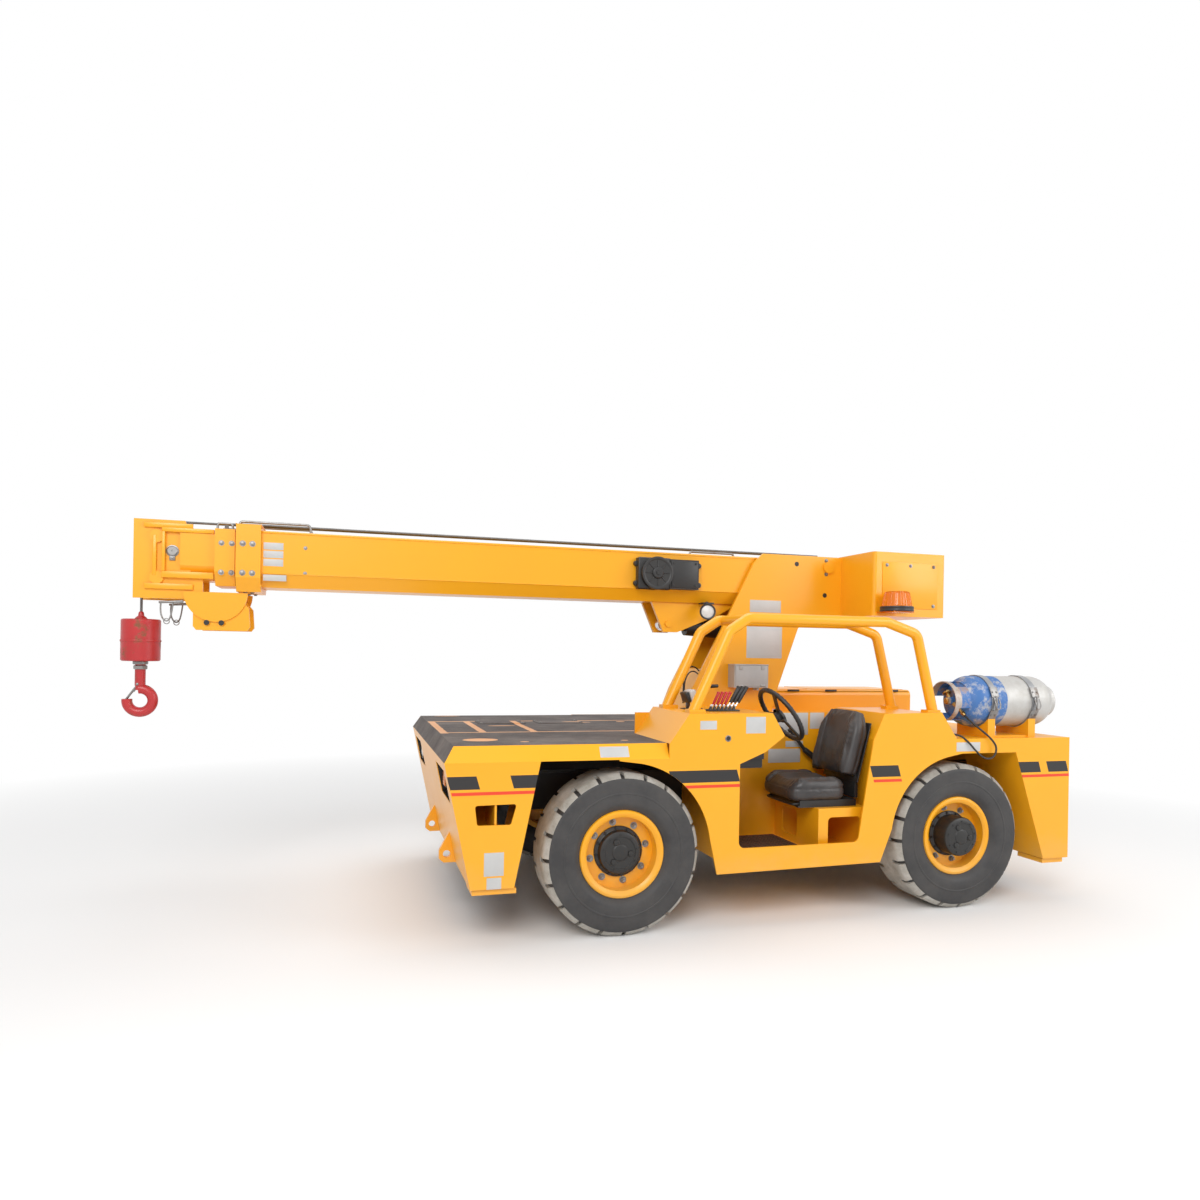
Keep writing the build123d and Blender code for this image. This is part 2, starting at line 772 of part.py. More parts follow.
def build_knuckle(x, side):
    reach_z = knuckle_half + yoke_gap + yoke_arm + 6
    body = Cylinder(knuckle_radius, 2 * knuckle_half) + Cylinder(kingpin_radius, 2 * reach_z)
    flange_y = wheel_y - kingpin_y - hub_inner - 6
    body += Rot(-90, 0, 0) * Pos(0, 0, flange_y / 2) * Cylinder(70, flange_y)
    spindle = wheel_y - kingpin_y + spindle_end
    body += Rot(-90, 0, 0) * Pos(0, 0, spindle / 2) * Cylinder(spindle_radius, spindle)
    body = Pos(x, kingpin_y, tyre_radius) * body
    return body if side > 0 else mirrored(body)


def build_wheel(x, side, face):
    half = rim_width / 2
    inner = rim_radius - 2 * rim_wall
    profile = Polyline((rim_radius, half), (rim_radius, half - 8), (rim_radius - rim_wall, half - 12),
                       (rim_radius - rim_wall, 12 - half), (rim_radius, 8 - half), (rim_radius, -half),
                       (inner, 10 - half), (inner, disc_y), (hub_radius - 20, disc_y),
                       (hub_radius - 20, disc_y + disc_t), (inner, disc_y + disc_t), (inner + 6, half - 6),
                       (inner + 14, half), close=True)
    rim = revolve(make_face(profile), axis=Axis.Y)
    hub = Rot(-90, 0, 0) * Pos(0, 0, (face - hub_inner) / 2) * Cylinder(hub_radius, face + hub_inner)
    bore_end = spindle_end + 2
    bore = Rot(-90, 0, 0) * Pos(0, 0, (bore_end - hub_inner - 2) / 2)
    bore = bore * Cylinder(spindle_radius + pin_clearance, bore_end + hub_inner + 2)
    wheel = Pos(x, wheel_y, tyre_radius) * (rim + hub - bore)
    return wheel if side > 0 else mirrored(wheel)


def ring_outline(radius, y):
    """A many-sided ring round the tyre's axis, with one side flat on the floor."""
    corner = radius / cos(radians(180 / tread_facets))
    turns = [radians(360 / tread_facets * (i + 0.5)) for i in range(tread_facets)]
    return make_face(Polyline(*[(corner * sin(a), y, corner * cos(a)) for a in turns], close=True))


def build_tyre(x, side):
    half, bead = tyre_width / 2, rim_radius - rim_wall
    outer = [(tyre_edge_radius, -half), (tyre_radius, tyre_shoulder - half), (tyre_radius, half - tyre_shoulder),
             (tyre_edge_radius, half)]
    tyre = loft([ring_outline(r, y) for r, y in outer], ruled=True)
    tyre -= loft([ring_outline(bead, -half - 1), ring_outline(bead, half + 1)], ruled=True)
    for row in (1, -1):
        dish = [(bead - 5, row * bead_y), (rim_radius + 46, row * (half + 4))]
        tyre -= loft([ring_outline(r, y) for r, y in dish], ruled=True)
    cut = Box(tread_gap, tread_reach, 2 * tread_depth)
    grooves = []
    for i in range(tread_facets // 2):
        for row in (1, -1):
            turn = 360 / tread_facets * (2 * i + (row + 1) / 2)
            grooves.append(Rot(0, turn, 0) * Pos(0, row * (half - tread_reach / 2 + 2), tyre_radius) * cut)
    tyre = Pos(x, wheel_y, tyre_radius) * (tyre - grooves)
    return tyre if side > 0 else mirrored(tyre)


# Turret
def along(low, high, z):
    """X on the straight edge between two points of an outline, at height z."""
    return low[0] + (high[0] - low[0]) * (z - low[1]) / (high[1] - low[1])


def mast_outline():
    return [(mast_front_low_x, plate_low), mast_front_knee, mast_front_top, mast_shoulder, (mast_top_x, mast_top_z),
            (tail_front_x, mast_top_z), (tail_front_x, mast_tail_z), mast_rear_step, mast_rear_top, mast_rear_knee,
            (mast_rear_low_x, plate_low)]


def mast_web(low, high, top_z, inward):
    """A cross plate between the mast's sides, just inside one sloping edge."""
    x0, x1 = along(low, high, plate_low) + inward * web_inset, along(low, high, top_z) + inward * web_inset
    t = inward * mast_t
    return side_plate([(x0, plate_low), (x1, top_z), (x1 + t, top_z), (x0 + t, plate_low)], -mast_inner, mast_inner)


def build_mast():
    mast = Pos(slew_x, 0, plate_low + base_plate_t / 2) * Cylinder(ring_radius - 5, base_plate_t)
    for side in (1, -1):
        mast += side_plate(mast_outline(), side * mast_inner, side * (mast_inner + mast_t))
    mast += mast_web(mast_front_knee, mast_front_top, front_web_z, -1)
    mast += mast_web(mast_rear_knee, mast_rear_top, rear_web_z, 1)
    pin_end = mast_inner + mast_t + pivot_cap
    mast += cross_bar(pivot_x, pivot_z, -pin_end, pin_end, pivot_radius)
    mast += cross_bar(lift_base_x, lift_base_z, -mast_inner, mast_inner, lift_pin)
    return mast


def build_tail_box():
    wall = tail_wall
    box = block(tail_rear_x, tail_front_x, -tail_half, tail_half, tail_low, tail_top)
    box = fillet(box.edges().filter_by(Axis.Z), tail_round)
    box -= block(tail_rear_x + wall, tail_front_x - wall, wall - tail_half, tail_half - wall, tail_low + wall,
                 tail_top - wall)
    return box - block(tail_front_x - 2 * wall, tail_front_x + 1, -rope_slot, rope_slot, boom_top - 47, tail_top - 30)


def build_beacon():
    y, z = tail_half + beacon_out, beacon_z
    shelf = block(beacon_x - 70, beacon_x + 70, tail_half, y + 70, z - 10, z)
    base = Pos(beacon_x, y, z + beacon_base_t / 2) * Cylinder(beacon_radius, beacon_base_t)
    dome = Cone(beacon_radius - 8, beacon_radius - 26, beacon_height)
    dome = fillet(dome.edges().group_by(Axis.Z)[-1], 18)
    return shelf + base + Pos(beacon_x, y, z + beacon_base_t + beacon_height / 2) * dome


def build_control_box():
    y0 = mast_inner + mast_t
    return block(control_box_rear_x, control_box_front_x, y0, y0 + control_box_depth, control_box_low, control_box_top)


# Boom sections
def section(half, low, top, fold, fold_in):
    return [(-half, top), (half, top), (half, low + fold), (half - fold_in, low), (fold_in - half, low), (-half, low + fold)]


def boom_step(n):
    """Outline of a boom section: 0 base, 1 middle, 2 tip."""
    drop = n * (boom_wall + step_gap)
    return section(boom_half - drop, boom_low + drop, boom_top - drop, boom_fold, boom_fold_in)


def boom_tube(n, x0, x1):
    drop = n * (boom_wall + step_gap) + boom_wall
    room = section(boom_half - drop, boom_low + drop, boom_top - drop, boom_fold, boom_fold_in)
    return cross_plate(boom_step(n), x0, x1) - cross_plate(room, x0 - 5, x1 + 5)


def ring_pad(n, x0, x1, rise):
    """A collar round section n that guides section n + 1."""
    drop = (n + 1) * (boom_wall + step_gap) - 0.5
    room = section(boom_half - drop, boom_low + drop, boom_top - drop, boom_fold, boom_fold_in)
    outer = section(boom_half + rise, boom_low - rise, boom_top + rise, boom_fold, boom_fold_in)
    return cross_plate(outer, x0, x1) - cross_plate(room, x0 - 5, x1 + 5)


def tail_shoe(n, x0, x1):
    """A ring of wear pads at the rear of section n, inside section n - 1."""
    drop = (n - 1) * (boom_wall + step_gap) + boom_wall + 0.5
    outer = section(boom_half - drop, boom_low + drop, boom_top - drop, boom_fold, boom_fold_in)
    inner_drop = n * (boom_wall + step_gap) + boom_wall
    room = section(boom_half - inner_drop, boom_low + inner_drop, boom_top - inner_drop, boom_fold, boom_fold_in)
    return cross_plate(outer, x0, x1) - cross_plate(room, x0 - 5, x1 + 5)


def build_boom_base():
    boom = boom_tube(0, boom_rear_x, base_end_x)
    boom += ring_pad(0, collar_a_x, base_end_x, collar_a_rise)
    boom -= cross_bar(pivot_x, pivot_z, -2 * boom_half, 2 * boom_half, pivot_radius + pin_clearance)
    low, top = eye_z - 51, boom_low + 3
    plate = [(eye_x + 114, top), (eye_x + 32, low), (eye_x - 60, low), (eye_x - 350, boom_low - 67), (eye_x - 470, top)]
    for side in (1, -1):
        inner, outer = side * bracket_in, side * (bracket_in + bracket_t)
        boom += side_plate(plate, inner, outer)
        boom += cross_bar(eye_x, eye_z, side * (eye_half + 7), outer + side * 10, eye_pin)
    return boom


def build_boom_mid():
    rear = boom_rear_x + mid_setback
    boom = boom_tube(1, rear, collar_b_end_x)
    boom += tail_shoe(1, rear, rear + shoe_length)
    collar = ring_pad(1, base_end_x + step_gap, collar_b_end_x, collar_b_rise)
    return boom + collar


def build_boom_tip():
    rear = boom_rear_x + tip_setback
    boom = boom_tube(2, rear, tip_end_x)
    boom += tail_shoe(2, rear, rear + shoe_length)
    cheek = [(tip_end_x - 20, head_top), (head_x, head_top), (head_x, head_low), (head_rear_x, head_low),
             (head_rear_x, head_notch_z), (tip_end_x - 50, head_notch_z), (tip_end_x - 50, boom_top - 37)]
    for side in (1, -1):
        inner, outer = side * (cheek_half - cheek_t), side * cheek_half
        boom += side_plate(cheek, inner, outer)
        for z in (sheave_z, main_sheave_z):
            boom += cross_bar(sheave_x, z, outer + side * 12, side * (sheave_width / 2 + 3), sheave_boss)
    for z in (sheave_z, main_sheave_z):
        boom += cross_bar(sheave_x, z, -cheek_half, cheek_half, sheave_pin)
    return boom + block(head_x - head_plate_t, head_x, -cheek_half, cheek_half, head_top - 60, head_top)


# Half-round plates on the head's cheeks, each with a drilled tie plate behind it
def build_tie_plates():
    plate = [(tie_front_x, head_low), (tie_front_x, tie_low + 20), (tie_front_x - 16, tie_low),
             (tie_rear_x + 15, tie_low), (tie_rear_x, tie_low + 20), (tie_rear_x + 7, tie_low + 120),
             (tie_rear_x + 55, head_low + 19), (head_rear_x, round_plate_z), (head_rear_x, head_low)]
    tie = side_plate(plate, cheek_half - cheek_t, cheek_half)
    disc = cross_bar(round_plate_x, round_plate_z, cheek_half, cheek_half + round_plate_t, round_plate_radius)
    disc -= block(round_plate_x - 2 * round_plate_radius, round_plate_x + 2 * round_plate_radius, 0, 2 * cheek_half,
                  round_plate_z, round_plate_z + 2 * round_plate_radius)
    tie += disc
    for x in tie_hole_xs:
        tie -= cross_bar(x, tie_hole_z, 0, 2 * cheek_half, tie_hole_radius)
    return Compound([tie, mirrored(tie)])


def build_head_sheave():
    wheel = Cylinder(sheave_radius, sheave_width) - Cylinder(sheave_pin + pin_clearance, sheave_width + 2)
    wheel = Rot(90, 0, 0) * (wheel - Torus(sheave_radius, groove_depth))
    return Compound([Pos(sheave_x, 0, sheave_z) * wheel, Pos(sheave_x, 0, main_sheave_z) * wheel])


def build_cable_reel():
    y0, (x0, x1) = boom_half, reel_box
    reel = block(x0, x1, y0, y0 + reel_box_depth, reel_z - reel_box_half, reel_z + reel_box_half)
    reel += cross_bar(reel_x, reel_z, y0, y0 + reel_depth, reel_radius)
    return reel + block(x1, reel_x, y0, y0 + reel_box_depth / 2, reel_z - 40, reel_z + 40)


def build_floodlight():
    y0 = bracket_in + bracket_t
    lamp = cross_bar(flood_x, flood_z, y0, y0 + 22, 14)
    lamp += block(flood_x - 20, flood_x + 20, y0 + 15, y0 + 40, flood_z - 14, flood_z + 14)
    y = y0 + 20 + flood_radius
    return lamp + bar((flood_x - 20, y, flood_z), (flood_x + 40, y, flood_z), flood_radius)


# Rope runs above the boom, one for each section, and the fall to the hook
def build_rope(x0, x1, y, post_x, post_z):
    rope = bar((x0, y, rope_z), (x1, y, rope_z), rope_radius)
    return rope + block(post_x - 10, post_x + 10, y - 5, y + 5, post_z, rope_z)


def wrapped_rope(x, z, centre_z, angle):
    """Rope bent round a sheave from its front tangent, up and back by an angle."""
    face = Plane(origin=(x, 0, z), z_dir=(0, 0, 1)) * Circle(rope_radius)
    return revolve(face, axis=Axis((sheave_x, 0, centre_z), (0, -1, 0)), revolution_arc=angle)


def build_tip_rope():
    run = build_rope(boom_rear_x + 300, sheave_x, 0, tip_end_x - 30, boom_top - 2 * (boom_wall + step_gap))
    drop = bar((hook_x, 0, main_sheave_z + fall_gap), (hook_x, 0, sheave_z), rope_radius)
    return run + wrapped_rope(hook_x, sheave_z, sheave_z, idler_arc) + drop


def build_hook_rope():
    fall = bar((hook_x, 0, block_top), (hook_x, 0, main_sheave_z), rope_radius)
    return fall + wrapped_rope(hook_x, main_sheave_z, main_sheave_z, wrap_angle)


def build_hook_block():
    body = Pos(hook_x, 0, (block_low + block_top) / 2) * Cylinder(block_radius, block_top - block_low)
    return fillet(body.edges(), 10)


def build_hook():
    centre_z = hook_low + hook_ring + hook_bar
    ring = Pos(hook_x, 0, centre_z) * Rot(90, 0, 0) * Torus(hook_ring, hook_bar)
    ring -= block(hook_x + 5, hook_x + 140, -60, 60, centre_z + 8, centre_z + 90)
    neck = bar((hook_x, 0, centre_z + hook_ring - 6), (hook_x, 0, block_low - 120), hook_bar - 2)
    return ring + neck + bar((hook_x, 0, block_low - 130), (hook_x, 0, block_low), hook_bar)


# Lift cylinder at rest
def lift_length():
    return hypot(eye_x - lift_base_x, eye_z - lift_base_z)


def lift_point(distance):
    """A point on the lift cylinder's axis, from its base pin towards the rod's eye."""
    share = distance / lift_length()
    return lift_base_x + (eye_x - lift_base_x) * share, 0, lift_base_z + (eye_z - lift_base_z) * share


def build_lift_barrel():
    barrel = bar(lift_point(60), lift_point(barrel_length), barrel_radius)
    barrel += cross_bar(lift_base_x, lift_base_z, -50, 50, 62)
    barrel -= cross_bar(lift_base_x, lift_base_z, -80, 80, lift_pin + pin_clearance)
    barrel -= bar(lift_point(75), lift_point(barrel_length + 5), rod_radius + pin_clearance)
    return barrel


def build_lift_rod():
    rod = bar(lift_point(85), lift_point(lift_length() - eye_radius + 8), rod_radius)
    eye = cross_bar(eye_x, eye_z, -eye_half, eye_half, eye_radius) - cross_bar(eye_x, eye_z, -90, 90, eye_pin + 1)
    return rod + eye


front_pad_z = sill_z - pad_gap - pad_t
rear_pad_z = tail_sill_z - pad_gap - pad_t

save("frame_rails", build_frame())
save("slew_ring", build_slew_ring())
save("deck_front", build_deck_front())
save("deck_rear", build_deck_rear())
save("front_body", build_front_body())
save("tow_lugs", build_tow_lugs())
save("side_left", build_side_left())
save("side_right", build_side_right())
save("rear_body", build_rear_body())
save("cowl", build_cowl())
save("rear_housing", build_rear_housing())
save("operator_tub", build_operator_tub())
save("seat_box", build_seat_box())
save("seat_slide", build_seat_slide())
save("seat_cushion", build_cushion())
save("seat_back", build_back())
save("guard", build_guard())
save("control_levers", build_control_levers())
save("steering_column", build_steering_column())
save("steering_wheel", build_steering_wheel())
save("lp_tank", build_tank())
save("tank_cradle", build_tank_cradle())
save("engine_hood", build_engine_hood())
save("engine", build_engine())
save("mast", build_mast())
save("tail_box", build_tail_box())
save("beacon", build_beacon())
save("control_box", build_control_box())
save("boom_base", build_boom_base())
save("boom_mid", build_boom_mid())
save("boom_tip", build_boom_tip())
save("tie_plates", build_tie_plates())
save("head_sheave", build_head_sheave())
save("cable_reel", build_cable_reel())
save("floodlight", build_floodlight())
save("rope_base", build_rope(boom_rear_x + 60, base_end_x, rope_pitch * 2, collar_a_x + 60, boom_top + collar_a_rise))
save("rope_mid", build_rope(boom_rear_x + 300, collar_b_end_x, rope_pitch, collar_b_end_x - 40, boom_top + collar_b_rise))
save("rope_tip", build_tip_rope())
save("hook_rope", build_hook_rope())
save("hook_block", build_hook_block())
save("hook", build_hook())
save("lift_barrel", build_lift_barrel())
save("lift_rod", build_lift_rod())
save("axles", Compound([build_axle(front_axle_x), build_axle(rear_axle_x)]))
for axle, x, face in (("front", front_axle_x, front_hub_face), ("rear", rear_axle_x, rear_hub_face)):
    pad_x, pad_length, pad_z = front_pad_x, front_pad_length, front_pad_z
    if axle == "rear":
        pad_x, pad_length, pad_z = rear_pad_x, rear_pad_length, rear_pad_z
    for name, side in (("left", 1), ("right", -1)):
        save("knuckle_%s_%s" % (axle, name), build_knuckle(x, side))
        save("wheel_%s_%s" % (axle, name), build_wheel(x, side, face))
        save("tyre_%s_%s" % (axle, name), build_tyre(x, side))
        leg = build_outrigger(pad_x, pad_length, pad_z)
        save("outrigger_%s_%s" % (axle, name), leg if side > 0 else mirrored(leg))
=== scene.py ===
import json
import math
from itertools import product

import bmesh
import bpy
from mathutils import Matrix, Vector


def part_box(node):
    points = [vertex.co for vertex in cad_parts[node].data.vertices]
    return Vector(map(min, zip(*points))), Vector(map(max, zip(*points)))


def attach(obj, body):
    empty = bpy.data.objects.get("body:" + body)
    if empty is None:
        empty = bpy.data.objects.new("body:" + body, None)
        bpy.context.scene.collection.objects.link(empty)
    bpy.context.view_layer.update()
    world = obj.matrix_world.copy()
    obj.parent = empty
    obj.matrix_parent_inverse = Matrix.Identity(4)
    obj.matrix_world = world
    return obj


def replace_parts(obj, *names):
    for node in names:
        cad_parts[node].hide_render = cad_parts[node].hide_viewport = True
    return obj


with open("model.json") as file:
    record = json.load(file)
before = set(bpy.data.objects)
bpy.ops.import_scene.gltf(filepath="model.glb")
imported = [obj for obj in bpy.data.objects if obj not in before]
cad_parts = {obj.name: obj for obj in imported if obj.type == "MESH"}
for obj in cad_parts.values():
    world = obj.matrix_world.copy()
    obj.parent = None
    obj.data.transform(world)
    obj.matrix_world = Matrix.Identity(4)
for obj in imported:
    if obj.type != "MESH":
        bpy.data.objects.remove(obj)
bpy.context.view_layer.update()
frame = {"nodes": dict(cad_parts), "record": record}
nodes = frame["nodes"]
scene = bpy.context.scene
print("frame loaded:", len(nodes), "nodes")


# a shader socket whose sums are written as Python
class Wire:
    def __init__(self, tree, socket):
        self.tree, self.socket = tree, socket

    def node(self, kind, settings=None, inputs=None, output=0):
        made = self.tree.nodes.new("ShaderNode" + kind)
        for key, value in (settings or {}).items():
            if key == "stops":
                while len(made.color_ramp.elements) < len(value):
                    made.color_ramp.elements.new(0.5)
                for element, (place, tone) in zip(made.color_ramp.elements, value):
                    element.position = place
                    element.color = tone if isinstance(tone, tuple) else (tone, tone, tone, 1)
            else:
                setattr(made, key, value)
        for key, value in (inputs or {}).items():
            if isinstance(value, Wire):
                self.tree.links.new(value.socket, made.inputs[key])
            else:
                made.inputs[key].default_value = value
        return Wire(self.tree, made.outputs[output])

    def maths(self, operation, first, second=0.0):
        return self.node("Math", {"operation": operation}, {0: first, 1: second})

    def __add__(self, other): return self.maths("ADD", self, other)
    def __radd__(self, other): return self.maths("ADD", other, self)
    def __sub__(self, other): return self.maths("SUBTRACT", self, other)
    def __rsub__(self, other): return self.maths("SUBTRACT", other, self)
    def __mul__(self, other): return self.maths("MULTIPLY", self, other)
    def __rmul__(self, other): return self.maths("MULTIPLY", other, self)
    def __truediv__(self, other): return self.maths("DIVIDE", self, other)
    def __gt__(self, other): return self.maths("GREATER_THAN", self, other)
    def __lt__(self, other): return self.maths("LESS_THAN", self, other)

    def larger(self, other): return self.maths("MAXIMUM", self, other)

    def between(self, low, high):
        return (self > low) * (self < high)


def newFinish(name):
    made = bpy.data.materials.new(name)
    made.use_nodes = True
    tree = made.node_tree
    shader = tree.nodes["Principled BSDF"]
    place = Wire(tree, None).node("TexCoord", output="Object")
    return made, tree, shader, place


def splitPlace(place):
    return [place.node("SeparateXYZ", {}, {0: place}, axis) for axis in range(3)]


def noise(place, scale, detail=3.0, roughness=0.6):
    inputs = {"Vector": place, "Scale": scale, "Detail": detail, "Roughness": roughness}
    return place.node("TexNoise", {}, inputs)


def ramp(wire, low, high):
    return wire.node("ValToRGB", {"stops": [(low, 0.0), (high, 1.0)]}, {0: wire})


def mixTone(factor, first, second):
    settings = {"data_type": "RGBA", "clamp_factor": True}
    return factor.node("Mix", settings, {0: factor, 6: first, 7: second}, 2)


def rgb(red, green, blue):
    return (red, green, blue, 1.0)


def feed(tree, shader, key, wire):
    if isinstance(wire, Wire):
        tree.links.new(wire.socket, shader.inputs[key])
    else:
        shader.inputs[key].default_value = wire


def bump(tree, shader, height, strength, distance):
    settings = {"Strength": strength, "Distance": distance, "Height": height}
    feed(tree, shader, "Normal", height.node("Bump", {}, settings))


paint = {
    "yellow": rgb(0.95, 0.43, 0.008), "shade": rgb(0.86, 0.35, 0.006), "dust": rgb(0.60, 0.42, 0.20),
    "black": rgb(0.016, 0.014, 0.014), "red": rgb(0.78, 0.05, 0.012), "coat": 0.15, "coatRough": 0.16,
    "roughness": 0.27, "lowDirt": 0.55
}

# side stripes in metres: spans along X, heights of the black band and of the red line under it
stripes = {
    "band": (0.773, 0.836), "line": (0.744, 0.760), "side": 0.9832, "slant": 0.30, "slantZ": 0.80,
    "left": [(0.892, 1.034), (0.566, 0.729), (-0.473, -0.091), (-1.462, -1.280), (-2.434, -2.276),
        (-2.636, -2.489)],
    "leftLine": [(0.566, 1.034), (-0.473, -0.091), (-1.462, -1.280), (-2.636, -2.276)],
    "right": [(0.892, 1.034), (0.566, 0.729), (-1.462, -0.091), (-2.434, -2.276), (-2.636, -2.489)],
    "rightLine": [(0.566, 1.034), (-1.462, -0.091), (-2.636, -2.276)], "pocketY": (0.470, 0.878),
    "pocketZ": (0.682, 0.858), "pocketX": 0.80, "noseLow": (0.924, 0.291), "noseSlope": 0.2167,
    "noseSkin": 0.004
}


# gloss paint with soft clouding, orange peel and a little dust low down
def paintBase(name):
    made, tree, shader, place = newFinish(name)
    x, y, z = splitPlace(place)
    cloud = noise(place, 2.2, 4.0)
    tone = mixTone(cloud * 0.6, paint["yellow"], paint["shade"])
    dirt = ramp((1 - z / paint["lowDirt"]) * noise(place, 7.0, 5.0, 0.7), 0.12, 0.75)
    tone = mixTone(dirt * 0.7, tone, paint["dust"])
    feed(tree, shader, "Roughness", paint["roughness"] + cloud * 0.14 + dirt * 0.4)
    feed(tree, shader, "Coat Weight", paint["coat"] * (1 - dirt))
    shader.inputs["Coat Roughness"].default_value = paint["coatRough"]
    bump(tree, shader, noise(place, 90.0, 2.0), 0.04, 0.002)
    return made, tree, shader, place, tone, (x, y, z)


def yellowPaint():
    made, tree, shader, place, tone, spots = paintBase("yellowPaint")
    feed(tree, shader, "Base Color", tone)
    return made


def spans(wire, rows):
    mask = wire.between(*rows[0])
    for row in rows[1:]:
        mask = mask + wire.between(*row)
    return mask


def stripedPaint():
    made, tree, shader, place, tone, (x, y, z) = paintBase("stripedPaint")
    slanted = x - (z - stripes["slantZ"]) * stripes["slant"]
    left, right = y > stripes["side"], y < -stripes["side"]
    band = spans(slanted, stripes["left"]) * left + spans(slanted, stripes["right"]) * right
    line = spans(slanted, stripes["leftLine"]) * left + spans(slanted, stripes["rightLine"]) * right
    tone = mixTone(band * z.between(*stripes["band"]), tone, paint["black"])
    tone = mixTone(line * z.between(*stripes["line"]), tone, paint["red"])
    nose = (z - stripes["noseLow"][1]) * stripes["noseSlope"] + stripes["noseLow"][0]
    behind = (x < nose - stripes["noseSkin"]) * (x > stripes["pocketX"])
    outward = y.maths("ABSOLUTE", y)
    pocket = behind * outward.between(*stripes["pocketY"]) * z.between(*stripes["pocketZ"])
    feed(tree, shader, "Base Color", mixTone(pocket, tone, paint["black"]))
    return made


deckCoat = {
    "topZ": 0.9765, "coatEnd": -1.30, "corner": (1.056, 0.984), "foldY": 0.9385,
    "grit": rgb(0.080, 0.070, 0.067), "worn": rgb(0.19, 0.165, 0.15), "bare": rgb(0.80, 0.40, 0.17),
    "speck": rgb(0.22, 0.20, 0.19),
    "lines": [((0.962, 1.004), (-0.47, 0.32)), ((-0.15, 0.99), (0.268, 0.298)),
        ((-0.41, 0.99), (-0.462, -0.432)), ((0.742, 0.784), (-0.44, 0.28)), ((0.447, 0.487), (-0.44, 0.28))],
    "patches": [(0.84, 0.675, 0.09, 0.07), (0.632, 0.789, 0.022, 0.016), (0.097, 0.791, 0.022, 0.016),
        (0.59, -0.118, 0.085, 0.02), (0.06, -0.32, 0.10, 0.018), (-0.25, -0.338, 0.03, 0.02),
        (0.83, -0.90, 0.09, 0.02)]
}


# black grit coat with bare lines and patches, yellow on its flanks and behind its end
def gritDeck():
    made, tree, shader, place = newFinish("gritDeck")
    x, y, z = splitPlace(place)
    wave = (noise(place, 26.0, 3.0) - 0.5) * 0.012
    bare = (x * 0) > 1
    for spanX, spanY in deckCoat["lines"]:
        bare = bare.larger((x + wave).between(*spanX) * (y + wave).between(*spanY))
    for centreX, centreY, halfX, halfY in deckCoat["patches"]:
        offX, offY = (x + wave - centreX) / halfX, (y + wave - centreY) / halfY
        bare = bare.larger((offX * offX + offY * offY) < 1)
    top = z > deckCoat["topZ"]
    bare = bare * top
    outward = y.maths("ABSOLUTE", y)
    cornerX, cornerY = deckCoat["corner"]
    flank = (1 - top) * ((outward - cornerY) > (x - cornerX)) * (outward > deckCoat["foldY"])
    flank = flank.larger(x < deckCoat["coatEnd"])
    worn = ramp(noise(place, 3.4, 6.0, 0.7), 0.42, 0.72)
    grit = noise(place, 420.0, 2.0, 0.8)
    tone = mixTone(worn * 0.75, deckCoat["grit"], deckCoat["worn"])
    tone = mixTone(ramp(grit, 0.56, 0.7) * 0.25, tone, deckCoat["speck"])
    tone = mixTone(bare * 0.9, tone, deckCoat["bare"])
    feed(tree, shader, "Base Color", mixTone(flank, tone, paint["yellow"]))
    feed(tree, shader, "Roughness", 0.86 - bare * 0.3 - worn * 0.1 - flank * 0.45)
    bump(tree, shader, grit * (1 - bare) * (1 - flank), 0.55, 0.003)
    return made


def plainFinish(name, tone, roughness, metallic=0.0, grain=30.0, lift=0.002, spread=0.12, strength=0.15):
    made, tree, shader, place = newFinish(name)
    cloud = noise(place, grain * 0.2, 4.0)
    fine = noise(place, grain * 4, 2.0)
    darker = tuple(channel * 0.66 for channel in tone[:3]) + (1.0,)
    feed(tree, shader, "Base Color", mixTone(cloud, tone, darker))
    feed(tree, shader, "Roughness", (roughness - spread / 2) + cloud * spread)
    shader.inputs["Metallic"].default_value = metallic
    bump(tree, shader, fine, strength, lift)
    return made


# paint that is rubbed through to something else
def wornFinish(name, tone, under, roughness, low, high, grain=9.0, metallic=0.0):
    made, tree, shader, place = newFinish(name)
    rubbed = ramp(noise(place, grain, 6.0, 0.72), low, high)
    cloud = noise(place, 4.0, 3.0)
    darker = tuple(channel * 0.6 for channel in tone[:3]) + (1.0,)
    feed(tree, shader, "Base Color", mixTone(rubbed, mixTone(cloud, tone, darker), under))
    feed(tree, shader, "Roughness", roughness + rubbed * 0.35)
    shader.inputs["Metallic"].default_value = metallic
    bump(tree, shader, 1 - rubbed, 0.25, 0.0015)
    return made


vinylGrain = {"tone": rgb(0.030, 0.027, 0.027), "worn": rgb(0.075, 0.070, 0.068), "cell": 520.0}


def seatVinyl():
    made, tree, shader, place = newFinish("seatVinyl")
    rubbed = ramp(noise(place, 6.0, 4.0), 0.40, 0.75)
    cells = place.node("TexVoronoi", {"feature": "F1"}, {"Vector": place, "Scale": vinylGrain["cell"]})
    feed(tree, shader, "Base Color", mixTone(rubbed * 0.7, vinylGrain["tone"], vinylGrain["worn"]))
    feed(tree, shader, "Roughness", 0.34 + rubbed * 0.16)
    bump(tree, shader, cells, 0.22, 0.0006)
    return made


rubber = {
    "wall": rgb(0.030, 0.029, 0.030), "wallDust": rgb(0.085, 0.080, 0.076), "tread": rgb(0.30, 0.28, 0.24),
    "treadPale": rgb(0.52, 0.50, 0.46)
}


